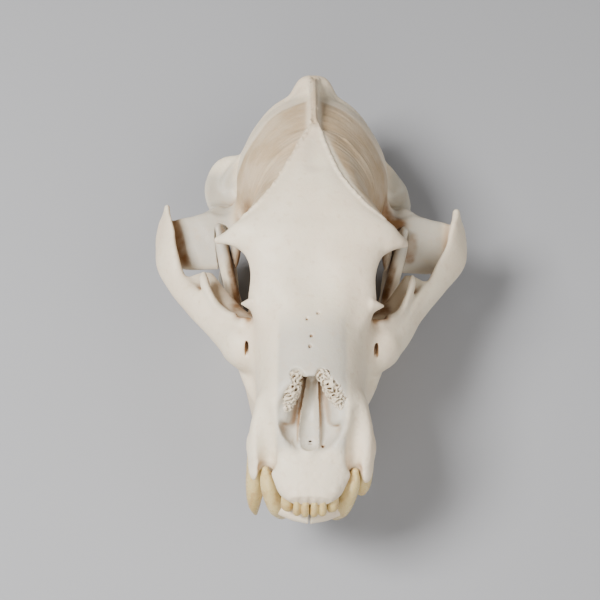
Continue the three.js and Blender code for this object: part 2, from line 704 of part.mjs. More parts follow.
function solidFromGeometry(geometry, placing) {
  const bare = geometry.clone().applyMatrix4(placing);
  bare.deleteAttribute('normal');
  bare.deleteAttribute('uv');
  const merged = mergeVertices(bare, 1e-4);
  const mesh = new wasm.Mesh({
    numProp: 3,
    vertProperties: new Float32Array(merged.attributes.position.array),
    triVerts: new Uint32Array(merged.index.array),
  });
  return new wasm.Manifold(mesh);
}

// Box with its middle, its sizes and its turn in degrees about x, then z.
function block(middle, sizes, turnX = 0, turnZ = 0) {
  const turn = new THREE.Euler(turnX * THREE.MathUtils.DEG2RAD, 0, turnZ * THREE.MathUtils.DEG2RAD, 'ZYX');
  const placing = new THREE.Matrix4().compose(
    new THREE.Vector3(...middle),
    new THREE.Quaternion().setFromEuler(turn),
    new THREE.Vector3(1, 1, 1),
  );
  return solidFromGeometry(new THREE.BoxGeometry(...sizes), placing);
}

function largest(solid) {
  return solid.decompose().sort((a, b) => b.volume() - a.volume())[0];
}

// Tooth as a closed tube of oval rings along a smooth curve. A station is [x, y, z, half length, half width],
// the length lying along the tooth row, whose direction is turned from y by the angle turn.
function toothMesh(stations, turn, rings, sides, squareness = 2) {
  const points = [];
  const triangles = [];
  const row = new THREE.Vector3(Math.sin(turn), Math.cos(turn), 0);
  const knots = [];
  for (let i = 0; i <= rings; i += 1) knots.push(splineRow(stations, i * (stations.length - 1) / rings));
  knots.forEach((knot, i) => {
    const before = knots[Math.max(i - 1, 0)];
    const after = knots[Math.min(i + 1, rings)];
    const along = new THREE.Vector3(...after).sub(new THREE.Vector3(...before)).normalize();
    const length = row.clone().addScaledVector(along, -row.dot(along)).normalize();
    const width = new THREE.Vector3().crossVectors(along, length);
    for (let s = 0; s < sides; s += 1) {
      const angleOn = 2 * Math.PI * s / sides;
      const c = Math.cos(angleOn);
      const d = Math.sin(angleOn);
      const shape = (Math.abs(c) ** squareness + Math.abs(d) ** squareness) ** (-1 / squareness);
      const point = new THREE.Vector3(...knot);
      point.addScaledVector(length, knot[3] * c * shape);
      point.addScaledVector(width, knot[4] * d * shape);
      points.push(point.toArray());
    }
  });
  const start = points.push(knots[0].slice(0, 3)) - 1;
  const end = points.push(knots[rings].slice(0, 3)) - 1;
  for (let s = 0; s < sides; s += 1) {
    const next = (s + 1) % sides;
    triangles.push([start, next, s]);
    triangles.push([end, rings * sides + s, rings * sides + next]);
    for (let i = 0; i < rings; i += 1) {
      const a = i * sides + s;
      const b = i * sides + next;
      triangles.push([a, b, b + sides], [a, b + sides, a + sides]);
    }
  }
  return { points, triangles };
}

// Upper teeth of one side, from the front back.
const UPPER_CANINE = [
  [CANINE_HALF - 6, 32.5, 66, 7.6, 6.2],
  [CANINE_HALF - 4.6, 28, 56, 7, 5.4],
  [CANINE_HALF - 3.8, 23.5, 43, 6.4, 5],
  [CANINE_HALF - 3.4, 22, 30, 4.6, 3.6],
  [CANINE_HALF - 4, 22.5, 19.5, 1.5, 1.3],
];
const BROKEN_CANINE = [
  [CANINE_HALF - 6, 32.5, 66, 7.6, 6.2],
  [CANINE_HALF - 4.6, 28, 56, 7, 5.4],
  [CANINE_HALF - 5.2, 23.5, 48, 6.4, 4.8],
  [CANINE_HALF - 5.4, 22.5, 45, 4.8, 3.6],
];
const INCISORS = [
  { x: 2.3, y: 2, turn: 1.5, wide: 2.2, deep: 3 },
  { x: 6.8, y: 2.8, turn: 1.4, wide: 2.3, deep: 3.2 },
  { x: 12.4, y: 6, turn: 1, wide: 3.4, deep: 3.4 },
];
const LOWER_INCISOR_SHARE = 0.73;
const UPPER_CHEEK = [
  { x: 31.5, y: 40.5, long: 5, wide: 3.6, cusps: 0, short: 4 },
  { x: 33, y: 87.5, long: 11.5, wide: 8.5, cusps: 1, short: 0 },
  { x: 34.5, y: 103.5, long: 18.5, wide: 13.5, cusps: 2, short: 0 },
  { x: 33.5, y: 127, long: 27, wide: 14, cusps: 3, short: 0 },
];
const LOWER_CHEEK = [
  { x: 24.5, y: 79, long: 9, wide: 5, cusps: 1 },
  { x: 27.5, y: 95, long: 19.5, wide: 8.5, cusps: 2 },
  { x: 31.5, y: 115.5, long: 20, wide: 10.5, cusps: 2 },
  { x: 36, y: 133.5, long: 14, wide: 10, cusps: 2 },
];

// Chewing tooth: a low crown on its root, with a row of cusps along each edge, from its gum to its bite.
function cheekTooth({ x, y, long, wide, cusps }, gumZ, biteZ) {
  const rise = biteZ - gumZ;
  const sign = Math.sign(rise);
  const crown = [
    [x, y, gumZ - 5 * sign, long * 0.36, wide * 0.36],
    [x, y, gumZ, long * 0.44, wide * 0.44],
    [x, y, gumZ + rise * 0.45, long * 0.5, wide * 0.5],
    [x, y, gumZ + rise * 0.74, long * 0.42, wide * 0.36],
  ];
  const solids = [solidOf(toothMesh(crown, 0, 3, 8, 2.8))];
  for (let c = 0; c < cusps; c += 1) {
    for (const edge of [-1, 1]) {
      const reach = long * ((c + 0.5) / cusps - 0.5) * 0.86;
      const cusp = [
        [x + edge * wide * 0.26, y + reach, gumZ + rise * 0.3, long * 0.36 / cusps, wide * 0.2],
        [x + edge * wide * 0.25, y + reach, gumZ + rise * 0.72, long * 0.36 / cusps, wide * 0.17],
        [x + edge * wide * 0.22, y + reach, biteZ, 0.7, 0.7],
      ];
      solids.push(solidOf(toothMesh(cusp, 0, 2, 5)));
    }
  }
  return solids;
}

// Front tooth with a chisel edge.
function frontTooth({ x, y, turn, wide, deep }, gumZ, biteZ, lean) {
  const sign = Math.sign(biteZ - gumZ);
  const stations = [
    [x, y + 3 + lean * 2, gumZ - 6 * sign, wide * 0.7, deep * 0.9],
    [x, y + lean, gumZ, wide * 0.86, deep],
    [x, y - 0.6, gumZ + (biteZ - gumZ) * 0.55, wide, deep * 0.9],
    [x, y, biteZ, wide * 0.86, deep * 0.42],
  ];
  return solidOf(toothMesh(stations, turn, 3, 7, 2.4));
}

const flip = (station) => [-station[0], ...station.slice(1)];

function bothSides(solid) {
  return [solid, solid.mirror([1, 0, 0])];
}

function upperTeeth() {
  const biteZ = BITE_Z + BITE_GAP / 2;
  const fronts = INCISORS.map((tooth) => frontTooth(tooth, UPPER_GUM.front, biteZ - OVERBITE.down, 1));
  const cheeks = UPPER_CHEEK.flatMap((tooth) => cheekTooth(tooth, UPPER_GUM.cheek, biteZ + tooth.short));
  return [...fronts, ...cheeks].flatMap(bothSides);
}

// The lower front teeth are as the upper ones, only narrower, closer together and behind them.
function lowerTeeth() {
  const biteZ = BITE_Z - BITE_GAP / 2;
  const fronts = INCISORS.map((tooth) => {
    const [x, wide] = [tooth.x, tooth.wide].map((size) => size * LOWER_INCISOR_SHARE);
    return frontTooth({ ...tooth, x, wide, y: tooth.y + OVERBITE.back }, LOWER_GUM.front, biteZ, 2);
  });
  const cheeks = LOWER_CHEEK.flatMap((tooth) => cheekTooth(tooth, LOWER_GUM.cheek, biteZ));
  return [solidOf(toothMesh(LOWER_CANINE, 0, 6, 8)), ...fronts, ...cheeks];
}

function unionOf(base, pieces) {
  return pieces.reduce((sum, piece) => sum.add(piece), base);
}

// The cranium, parted by thin cuts at the roots of the cheekbones and behind the forehead.
const cranium = simplify(surfaceOf(craniumField, CRANIUM_BOX.low, CRANIUM_BOX.high), CRANIUM_TRIANGLES);
const cheekCuts = [-1, 1].flatMap((side) => {
  const front = [side * CHEEK_FRONT_CUT.x, CHEEK_FRONT_CUT.y, CHEEK_FRONT_CUT.z];
  const rear = [side * CHEEK_REAR_CUT.x, CHEEK_REAR_CUT.y, CHEEK_REAR_CUT.z];
  return [block(front, [56, CUT_GAP, 50], 0, -side * CHEEK_FRONT_CUT.turn), block(rear, [CUT_GAP, 48, 60])];
});
const foreheadCut = block([0, FOREHEAD_CUT_Y, 110], [110, CUT_GAP, 120]);
const parted = [...cheekCuts, foreheadCut].reduce((solid, cut) => solid.subtract(cut), solidOf(cranium));
const pieces = parted.decompose().sort((a, b) => b.volume() - a.volume());

const nodes = {};
for (const piece of pieces.slice(0, 4)) {
  const { min, max } = piece.boundingBox();
  if (min[0] > 0) nodes.zygomatic_arch_left = piece;
  else if (max[0] < 0) nodes.zygomatic_arch_right = piece;
  else if (max[1] > FORK.y) nodes.braincase = piece;
  else nodes.face = piece;
}
const canines = [
  solidOf(toothMesh(BROKEN_CANINE, 0, 4, 8)),
  solidOf(toothMesh(UPPER_CANINE.map(flip), 0, 6, 8)),
];
nodes.face = largest(unionOf(nodes.face, [...upperTeeth(), ...canines]));

// The lower jaw in two halves, trimmed to the table that it rests on.
const halfJaw = simplify(surfaceOf(halfJawField, HALF_JAW_BOX.low, HALF_JAW_BOX.high), JAW_TRIANGLES);
const tableSize = [300, 500, 80];
const tableDrop = tableSize[2] / 2 / Math.cos(NOSE_UP * THREE.MathUtils.DEG2RAD);
const table = block([0, REST_POINT.y, REST_POINT.z - tableDrop], tableSize, NOSE_UP);
const leftJaw = largest(unionOf(solidOf(halfJaw), lowerTeeth()).subtract(table));
nodes.mandible_left = leftJaw;
nodes.mandible_right = leftJaw.mirror([1, 0, 0]);

function meshOf(name, solid) {
  const { vertProperties, triVerts } = solid.getMesh();
  const geometry = new THREE.BufferGeometry();
  geometry.setAttribute('position', new THREE.BufferAttribute(vertProperties, 3));
  geometry.setIndex(new THREE.BufferAttribute(triVerts, 1));
  geometry.computeVertexNormals();
  const mesh = new THREE.Mesh(geometry, new THREE.MeshStandardMaterial(BONE));
  mesh.name = name;
  return mesh;
}

// The skull rocks back on its lower jaw, nose up, and stands with its box's lowest face on the table.
const skull = new THREE.Group();
skull.rotation.x = -NOSE_UP * THREE.MathUtils.DEG2RAD;
for (const [name, solid] of Object.entries(nodes)) skull.add(meshOf(name, solid));
const bear = new THREE.Group();
bear.add(skull);
bear.updateMatrixWorld(true);
const box = new THREE.Box3().setFromObject(bear, true);
skull.position.set(0, -(box.min.y + box.max.y) / 2, -box.min.z);

export default bear;
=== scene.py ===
import math

import bpy
import numpy as np
from mathutils import Matrix, Vector


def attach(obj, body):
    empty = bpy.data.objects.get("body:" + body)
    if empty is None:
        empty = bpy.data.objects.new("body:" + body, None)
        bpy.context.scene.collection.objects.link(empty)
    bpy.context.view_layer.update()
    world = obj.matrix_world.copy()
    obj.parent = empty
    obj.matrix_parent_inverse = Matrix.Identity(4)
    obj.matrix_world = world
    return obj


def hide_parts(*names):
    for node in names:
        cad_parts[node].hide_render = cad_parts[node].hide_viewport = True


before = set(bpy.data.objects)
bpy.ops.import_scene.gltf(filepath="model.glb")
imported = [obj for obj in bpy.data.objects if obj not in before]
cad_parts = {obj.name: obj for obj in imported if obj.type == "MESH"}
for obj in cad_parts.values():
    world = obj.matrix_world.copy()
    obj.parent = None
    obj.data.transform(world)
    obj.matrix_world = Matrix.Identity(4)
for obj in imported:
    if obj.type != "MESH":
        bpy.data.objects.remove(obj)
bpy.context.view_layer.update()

# Driving sizes in millimetres, in the skull's own frame: x to the side, y back from the front of the upper
# jaw, z up from the lowest edge of the lower jaw.
CREST_END_Y = 282
INION_Z = 133
ARCH_HALF = 96.5
POSTORBITAL_HALF = 55.5
BRAINCASE_HALF = 48
CANINE_HALF = 34
NASAL_TIP_Y = 46
NASAL_TIP_Z = 107.5
FORK_Y = 203
FORK_Z = 154
PALATE_Z = 60
BITE_Z = 49.6
SYMPHYSIS_GAP = 0.05
JAW_CLEARANCE = 1.0

# Where the skull's own frame stands in the part's frame: nose up, then moved.
NOSE_UP = math.radians(15)
PLACE = np.array([0.0, -160.65, 32.85])
MM = 0.001

# Fineness of the surfaces.
BONE_STEP = 0.8
TOOTH_STEP = 0.5
FAR = 60.0
MARGIN = 12.0
SPAN_STEPS = 7
NOISE_PRIMES = [73856093, 19349663, 83492791]

# Broken bone inside the nose: distance between its walls, their thickness as a share, fineness.
WEB_SIZE = 5
WEB_WALL = 0.6
WEB_STEP = 0.4


# Shapes as distances

def join(a, b, k):
    """Smooth union of two distances, rounded over the width k."""
    h = np.maximum(k - np.abs(a - b), 0) / k
    return np.minimum(a, b) - h * h * (k / 4)


def carve(a, b, k):
    """Distance a less the shape b, with the edge rounded over the width k."""
    return -join(-a, b, k)


def oval(x, y, z, rx, ry, rz):
    """Nearly true distance to an oval of the given radii."""
    level = np.sqrt((x / rx) ** 2 + (y / ry) ** 2 + (z / rz) ** 2)
    slope = np.sqrt((x / rx ** 2) ** 2 + (y / ry ** 2) ** 2 + (z / rz ** 2) ** 2)
    return level * (level - 1) / np.maximum(slope, 1e-6)


def curve_rows(rows, steps=SPAN_STEPS):
    """Rows on a smooth curve through the given rows, evenly spread."""
    rows = np.asarray(rows, float)
    padded = np.vstack([2 * rows[0] - rows[1], rows, 2 * rows[-1] - rows[-2]])
    out = []
    for i in range(1, len(padded) - 2):
        before, a, b, after = padded[i - 1:i + 3]
        for step in range(steps):
            u = step / steps
            m0 = (b - before) / 2
            m1 = (after - a) / 2
            out.append((2 * u ** 3 - 3 * u ** 2 + 1) * a + (u ** 3 - 2 * u ** 2 + u) * m0
                       + (3 * u ** 2 - 2 * u ** 3) * b + (u ** 3 - u ** 2) * m1)
    out.append(padded[-2])
    return np.array(out)


def rows_at(rows, y):
    """Rows of a table at the lengths y, the first column of the table being the length."""
    rows = np.asarray(rows, float)
    span = np.clip(np.searchsorted(rows[:, 0], y, side="right") - 1, 0, len(rows) - 2)
    a = rows[span]
    b = rows[span + 1]
    gap = b[:, :1] - a[:, :1]
    u = np.clip((y[:, None] - a[:, :1]) / gap, 0, 1)
    before = rows[np.maximum(span - 1, 0)]
    after = rows[np.minimum(span + 2, len(rows) - 1)]
    m0 = gap * (b - before) / (b[:, :1] - before[:, :1])
    m1 = gap * (after - a) / (after[:, :1] - a[:, :1])
    return ((2 * u ** 3 - 3 * u ** 2 + 1) * a + (u ** 3 - 2 * u ** 2 + u) * m0
            + (3 * u ** 2 - 2 * u ** 3) * b + (u ** 3 - u ** 2) * m1)


class Loft:
    """Body along y. A station is [y, half width, height of the widest line, top, bottom, squareness above,
    squareness below]."""

    def __init__(self, blend, stations):
        self.blend = blend
        self.stations = np.asarray(stations, float)
        self.start = self.stations[0, 0]
        self.end = self.stations[-1, 0]
        tops = self.stations.max(axis=0)
        bottoms = self.stations.min(axis=0)
        self.low = np.array([-MARGIN, self.start - MARGIN, bottoms[4] - MARGIN])
        self.high = np.array([tops[1] + MARGIN, self.end + MARGIN, tops[3] + MARGIN])

    def distance(self, x, y, z):
        rows = rows_at(self.stations, np.clip(y.ravel(), self.start, self.end)).astype(np.float32)
        columns = [rows[:, i].reshape(y.shape) for i in range(7)]
        width, middle, top, bottom, above, below = columns[1:]
        rise = z - middle
        up = rise > 0
        height = np.where(up, top - middle, middle - bottom)
        power = np.where(up, above, below)
        a = np.broadcast_to(x / width, np.broadcast_shapes(x.shape, rise.shape))
        b = np.abs(rise) / height
        level = np.maximum(a ** power + b ** power, 1e-9) ** (1 / power)
        slope = np.sqrt((a ** (power - 1) / width) ** 2 + (b ** (power - 1) / height) ** 2)
        section = (level - 1) * level ** (power - 1) / np.maximum(slope, 1e-6)
        section = np.maximum(section, -np.minimum(width, height))
        beyond = np.maximum(self.start - y, y - self.end)
        outside = np.hypot(np.maximum(beyond, 0), np.maximum(section, 0))
        return np.where((beyond > 0) & (section > 0), outside, np.maximum(section, beyond))


class Ribbon:
    """Oval section along a smooth curve. A station is [x, y, z, half height, half thickness] and the
    direction of the height, which is up where it is left out."""

    def __init__(self, blend, stations):
        self.blend = blend
        rows = [list(row) + [0, 0, 1] if len(row) == 5 else list(row) for row in stations]
        self.knots = curve_rows(rows).astype(np.float32)
        reach = self.knots[:, 3:5].max(axis=1)[:, None]
        self.low = (self.knots[:, :3] - reach).min(axis=0) - MARGIN
        self.high = (self.knots[:, :3] + reach).max(axis=0) + MARGIN

    def distance(self, x, y, z):
        knots = self.knots
        shape = np.broadcast_shapes(x.shape, y.shape, z.shape)
        best = np.full(shape, np.inf, np.float32)
        at = np.zeros(shape, np.int16)
        share = np.zeros(shape, np.float32)
        for i in range(len(knots) - 1):
            a = knots[i, :3]
            d = knots[i + 1, :3] - a
            px, py, pz = x - a[0], y - a[1], z - a[2]
            u = np.clip((px * d[0] + py * d[1] + pz * d[2]) / (d @ d), 0, 1)
            gap = (px - u * d[0]) ** 2 + (py - u * d[1]) ** 2 + (pz - u * d[2]) ** 2
            closer = gap < best
            best[closer] = gap[closer]
            share[closer] = u[closer]
            at[closer] = i
        mix = [knots[at, i] + (knots[at + 1, i] - knots[at, i]) * share for i in range(8)]
        steps = np.diff(knots[:, :3], axis=0)
        steps /= np.linalg.norm(steps, axis=1)[:, None]
        along = [steps[at, i] for i in range(3)]
        lean = mix[5:8]
        flat = sum(p * q for p, q in zip(lean, along))
        lean = [p - flat * q for p, q in zip(lean, along)]
        length = np.sqrt(sum(p * p for p in lean)) + 1e-6
        lean = [p / length for p in lean]
        off = [x - mix[0], y - mix[1], z - mix[2]]
        up = sum(p * q for p, q in zip(off, lean))
        on = sum(p * q for p, q in zip(off, along))
        square = sum(p * p for p in off) - up * up - on * on
        across = np.sqrt(np.maximum(square, 0))
        cap = np.minimum(mix[3], mix[4])
        return oval(up, across, on, mix[3], mix[4], cap)


class Lump:
    """Oval with its middle and its radii."""

    def __init__(self, blend, middle, radii):
        self.blend = blend
        self.middle = np.asarray(middle, np.float32)
        self.radii = np.asarray(radii, np.float32)
        self.low = self.middle - self.radii - MARGIN
        self.high = self.middle + self.radii + MARGIN

    def distance(self, x, y, z):
        return oval(x - self.middle[0], y - self.middle[1], z - self.middle[2], *self.radii)


def grid(low, high, step):
    return [np.arange(a, b + step, step, dtype=np.float32) for a, b in zip(low, high)]


def spread(axes):
    x, y, z = axes
    return x[:, None, None], y[None, :, None], z[None, None, :]


def field_of(axes, forms, hollows=(), inner=(), field=None):
    """Distances on a grid to the forms joined together, less the hollows, plus what stands inside them."""
    if field is None:
        field = np.full([len(axis) for axis in axes], FAR, np.float32)
    for group, blend in ((forms, join), (hollows, carve), (inner, join)):
        for form in group:
            reach = zip(axes, form.low, form.high)
            part = tuple(slice(*np.searchsorted(axis, (low, high))) for axis, low, high in reach)
            if field[part].size == 0:
                continue
            distance = form.distance(*spread([axis[cut] for axis, cut in zip(axes, part)]))
            field[part] = blend(field[part], distance.astype(np.float32), np.float32(form.blend))
    return field


def top_of(field, axes, x, y):
    """Height of the highest surface over the place x, y."""
    column = field[np.searchsorted(axes[0], x), np.searchsorted(axes[1], y)]
    last = np.nonzero(column < 0)[0][-1]
    a, b = column[last], column[last + 1]
    return axes[2][last] + (axes[2][last + 1] - axes[2][last]) * a / (a - b)


def drape(field, axes, line, half_height, half_thickness, lift=0.0):
    """Stations of a ribbon that lies on the top of a surface along a line of places x, y."""
    places = curve_rows(line, 4)
    return [[x, y, top_of(field, axes, x, y) + lift, half_height, half_thickness] for x, y in places]


def surface(field, axes):
    """Points and four-cornered faces of the closed surface where the field is zero."""
    inside = field < 0
    cells = [n - 1 for n in field.shape]
    cell_ids = []
    places = []
    quads = []
    for axis in range(3):
        lower = tuple(slice(0, -1) if i == axis else slice(None) for i in range(3))
        upper = tuple(slice(1, None) if i == axis else slice(None) for i in range(3))
        index = np.argwhere(inside[lower] != inside[upper])
        after = index.copy()
        after[:, axis] += 1
        a = field[tuple(index.T)]
        b = field[tuple(after.T)]
        place = index.astype(np.float32)
        place[:, axis] += a / (a - b)
        first, second = [i for i in range(3) if i != axis]
        ring = []
        for da, db in ((0, 0), (1, 0), (1, 1), (0, 1)):
            cell = index.copy()
            cell[:, first] -= da
            cell[:, second] -= db
            ring.append(np.ravel_multi_index(cell.T, cells, mode="clip"))
            cell_ids.append(ring[-1])
            places.append(place)
        quad = np.stack(ring, axis=1)
        turned = (a < 0) == (axis == 1)
        quad[turned] = quad[turned][:, ::-1]
        quads.append(quad)
    ids, inverse = np.unique(np.concatenate(cell_ids), return_inverse=True)
    places = np.concatenate(places)
    count = np.bincount(inverse, minlength=len(ids))
    points = np.stack([np.bincount(inverse, places[:, i], len(ids)) / count for i in range(3)], axis=1)
    faces = np.searchsorted(ids, np.concatenate(quads))
    low = np.array([axis[0] for axis in axes])
    step = np.array([axis[1] - axis[0] for axis in axes])
    return low + points * step, faces


def sample(field, axes, points):
    """Field between the grid's points."""
    out = np.zeros(len(points), np.float32)
    low = np.array([axis[0] for axis in axes])
    step = np.array([axis[1] - axis[0] for axis in axes])
    place = (points - low) / step
    base = np.clip(np.floor(place).astype(int), 0, np.array(field.shape) - 2)
    part = np.clip(place - base, 0, 1)
    for corner in np.ndindex(2, 2, 2):
        weight = np.prod(np.where(np.array(corner) == 1, part, 1 - part), axis=1)
        out += weight * field[tuple((base + corner).T)]
    return out


def normals_of(points, faces):
    a, b, c, d = (points[faces[:, i]] for i in range(4))
    face_normals = np.cross(c - a, d - b)
    total = np.zeros_like(points)
    for i in range(4):
        for k in range(3):
            total[:, k] += np.bincount(faces[:, i], face_normals[:, k], len(points))
    return total / np.maximum(np.linalg.norm(total, axis=1), 1e-9)[:, None]


def value_noise(points, size, seed):
    """Smooth random values between -1 and 1, with grains of the given size."""
    place = points / size
    base = np.floor(place).astype(np.int64)
    part = place - base
    part = part * part * (3 - 2 * part)
    out = np.zeros(len(points))
    for corner in np.ndindex(2, 2, 2):
        cell = base + corner
        keys = cell * NOISE_PRIMES
        key = keys[:, 0] ^ keys[:, 1] ^ keys[:, 2] ^ (seed * 2654435761)
        key = (key ^ (key >> 13)) * 1274126177 & 0xFFFFFFFF
        value = ((key ^ (key >> 16)) & 0xFFFF) / 32767.5 - 1
        weight = np.prod(np.where(np.array(corner) == 1, part, 1 - part), axis=1)
        out += weight * value
    return out


def ease(low, high, value):
    t = np.clip((value - low) / (high - low), 0, 1)
    return t * t * (3 - 2 * t)


# Cranium

LOWER_CANINE = [
    [15.5, 21, 28, 7, 6],
    [18, 14.5, 41, 6.6, 5.6],
    [21.2, 15.2, 53, 5.8, 5.2],
    [23.2, 17.6, 60, 4.6, 4],
    [24.2, 19.4, 65, 2, 1.8],
]

snout = Loft(6, [
    [2, 11.5, 62, 66, 57, 2.2, 2.5],
    [7, 16.5, 62, 69, 56, 2.2, 3],
    [14, 20.5, 63, 74, 56, 2.2, 3],
    [22, 26, 64, 80, 57, 2.3, 3],
    [34, 31.5, 66, 96, 58, 2.4, 3],
    [NASAL_TIP_Y, 30.5, 68, NASAL_TIP_Z, 59, 2.4, 3],
    [60, 30, 70, 112, PALATE_Z, 2.4, 3],
    [76, 31.5, 72, 116.5, PALATE_Z, 2.4, 3],
    [92, 35, 74, 120.5, PALATE_Z, 2.4, 3],
    [106, 33, 80, 124, PALATE_Z, 2.3, 3],
    [120, 27, 84, 126, PALATE_Z + 1, 2.2, 3],
    [136, 24, 86, 130, PALATE_Z + 2, 2.2, 3],
    [160, 24, 90, 132, PALATE_Z + 3, 2.2, 3],
])
canine_root = Ribbon(7, [
    [CANINE_HALF - 8, 23, 60, 8, 8],
    [CANINE_HALF - 8, 32, 72, 7.5, 7.5],
    [CANINE_HALF - 10, 47, 86, 5.5, 5.5],
])
canine_collar = Lump(2.5, [31.6, 35, 67], [3.6, 8, 7])
incisor_roots = [
    Lump(2, [2.3, 3.6, 61.5], [1.9, 2.6, 4.5]),
    Lump(2, [6.8, 4.4, 61.5], [2, 2.6, 4.5]),
    Lump(2, [12.2, 7.6, 61.5], [2.8, 2.8, 5.5]),
]
tooth_bed = Ribbon(6, [
    [26, 66, 61, 5, 5],
    [31.5, 84, 60.5, 5.5, 7],
    [35, 105, 60.5, 5.5, 8],
    [34, 128, 61, 5.5, 7.5],
    [31, 142, 63, 4, 5],
])
forehead = Loft(8, [
    [84, 22, 102, 108, 92, 2.2, 2.2],
    [94, 31, 106, 117, 92, 2.2, 2.2],
    [104, 36, 107, 124.5, 93, 2.3, 2.2],
    [116, 37, 113, 132.5, 100, 2.5, 2.2],
    [125, 39.5, 120, 137.8, 110, 2.7, 2.2],
    [131, 45, 124.5, 140.8, 116, 2.7, 2.2],
    [137, 49, 125.5, 142.8, 117, 2.6, 2.2],
    [144, 44, 124.5, 145.5, 112, 2.6, 2.2],
    [156, 37.5, 122, 149, 102, 2.6, 2.2],
    [170, 33, 116, 151, 92, 2.4, 2.2],
    [186, 27, 116, 152, 95, 2.2, 2.2],
    [FORK_Y, 16, 125, 151, 105, 2.2, 2.2],
])
postorbital = Ribbon(4, [
    [42, 133.5, 127.5, 4, 5.5],
    [49, 135.5, 126, 3.2, 4.2],
    [POSTORBITAL_HALF - 1.2, 137.5, 122.5, 2.2, 2.2],
])
braincase = Loft(8, [
    [150, 31, 106, 140, 72, 2.0, 2.2],
    [166, 33, 104, 146, 70, 1.9, 2.2],
    [182, 39, 101, 149, 67, 1.8, 2.2],
    [202, 46, 98, 149, 65, 1.8, 2.2],
    [222, BRAINCASE_HALF, 96, 146, 64, 1.8, 2.2],
    [242, 46, 96, 141, 64, 1.8, 2.2],
    [256, 40, 96, 135, 66, 1.8, 2.2],
    [266, 32, 95, 128, 70, 1.9, 2.2],
])
sagittal_crest = Ribbon(4, [
    [0, FORK_Y - 6, FORK_Z - 6, 4, 5],
    [0, 216, 149, 6, 2.2],
    [0, 240, 144.5, 7.5, 1.8],
    [0, 262, 137.5, 7.5, 2.2],
    [0, CREST_END_Y - 4, INION_Z - 4, 5, 6],
])
nuchal_crest = Ribbon(6, [
    [0, CREST_END_Y - 3, INION_Z - 3.5, 5, 6, 0, 0.8, 0.6],
    [6, CREST_END_Y - 3.5, INION_Z - 4.2, 5, 5, 0.1, 0.8, 0.6],
    [12.5, CREST_END_Y - 9, 121, 5, 4, 0.25, 0.8, 0.55],
    [23, 267, 113.5, 7, 4, 0.4, 0.8, 0.4],
    [32.5, 259, 104, 7, 4, 0.6, 0.75, 0.3],
    [39.5, 250, 95, 6, 4, 0.65, 0.7, 0.3],
    [45.5, 241, 87, 6, 4.4, 0.8, 0.5, 0.3],
    [51, 230, 82, 6, 4.6, 0.95, 0.1, 0.25],
])
crest_foot = Lump(6, [6, 268, 124], [6, 9, 8])
occiput = Lump(8, [0, 254, 104], [34, 18, 27])
mastoid = Ribbon(7, [
    [48, 236, 84, 11, 8, 0, 1, 0],
    [54, 236, 76, 12, 8, 0, 1, 0],
    [58, 236, 67, 9, 7, 0, 1, 0],
    [59, 235, 60, 5, 5, 0, 1, 0],
])
ear_flange_right = Ribbon(4, [
    [-46, 249, 88, 5, 2.6, -0.6, 0.6, 0.5],
    [-56, 246, 84, 8, 2.8, -0.75, 0.45, 0.45],
    [-61, 238, 80.5, 8, 2.8, -0.88, 0.15, 0.45],
    [-62, 226, 78, 8, 2.8, -0.9, -0.05, 0.45],
    [-60, 215, 77, 7, 2.8, -0.85, -0.2, 0.45],
    [-58, 204, 82, 5, 3, -0.4, 0.3, 0.8],
])
ear_flange_left = Ribbon(4, [
    [48, 238, 84, 4, 2.6, 0.7, 0.5, 0.5],
    [55.5, 231, 79, 7, 2.6, 0.85, 0.2, 0.5],
    [56.5, 220, 77, 7, 2.8, 0.9, 0, 0.45],
    [57, 212, 76.5, 7, 2.8, 0.85, -0.2, 0.5],
    [58, 204, 82, 5, 3, 0.4, 0.3, 0.8],
])
skull_base = Loft(8, [
    [146, 13, 72, 84, 65, 2.4, 2.6],
    [180, 18, 70, 84, 63, 2.4, 2.6],
    [205, 28, 70, 88, 62, 2.4, 2.6],
    [232, 40, 71, 92, 62, 2.4, 2.6],
    [252, 34, 72, 92, 64, 2.4, 2.6],
    [266, 22, 74, 92, 68, 2.4, 2.6],
])
bulla = Lump(5, [27, 221, 65], [15, 17, 7])
ear_tube = Ribbon(5, [[40, 222, 73, 8, 8], [58, 222, 74, 7, 7]])
condyle = Ribbon(5, [
    [9, 265, 66, 7, 6],
    [17, 268, 72, 8.5, 7],
    [22, 264, 81, 7, 6],
])
paroccipital = Ribbon(5, [
    [34, 250, 76, 8, 6],
    [37, 254, 64, 6, 5],
    [37.5, 255, 57, 3.5, 3],
])
pterygoid = Ribbon(4, [
    [13, 140, 67, 5, 2.6],
    [12.5, 160, 66, 8, 2],
    [13, 178, 66, 9, 2],
    [14, 191, 64, 5, 2],
])
cheek_root = Lump(8, [38, 98, 78], [11, 15, 14])
cheek_bar = Ribbon(5, [
    [43, 98, 79, 11, 8, -0.25, 0.25, 0.93],
    [54, 112, 78.5, 10, 6, -0.35, 0.3, 0.9],
    [67.6, 128.6, 77.7, 8.5, 5, -0.42, 0.28, 0.87],
    [80.3, 146.5, 76.9, 7.6, 4, -0.45, 0.18, 0.87],
    [ARCH_HALF - 8.4, 164, 81, 11.5, 3.6, -0.45, 0.05, 0.88],
    [ARCH_HALF - 6.4, 178, 85, 12, 3.2, -0.42, 0.1, 0.9],
    [ARCH_HALF - 6.2, 188, 90, 10, 2.6, -0.25, 0.3, 0.92],
    [ARCH_HALF - 6.6, 195, 95.5, 4, 1.9, -0.1, 0.5, 0.86],
])
cheek_shelf = Ribbon(5, [
    [ARCH_HALF - 6, 180, 77, 14, 3, -0.05, 0.83, 0.56],
    [80, 180.6, 78.8, 16.4, 4, 0, 0.84, 0.54],
    [68, 180.6, 79.8, 17.6, 4.4, 0, 0.86, 0.5],
    [48, 181, 80.5, 18, 4.6, 0, 0.87, 0.49],
])
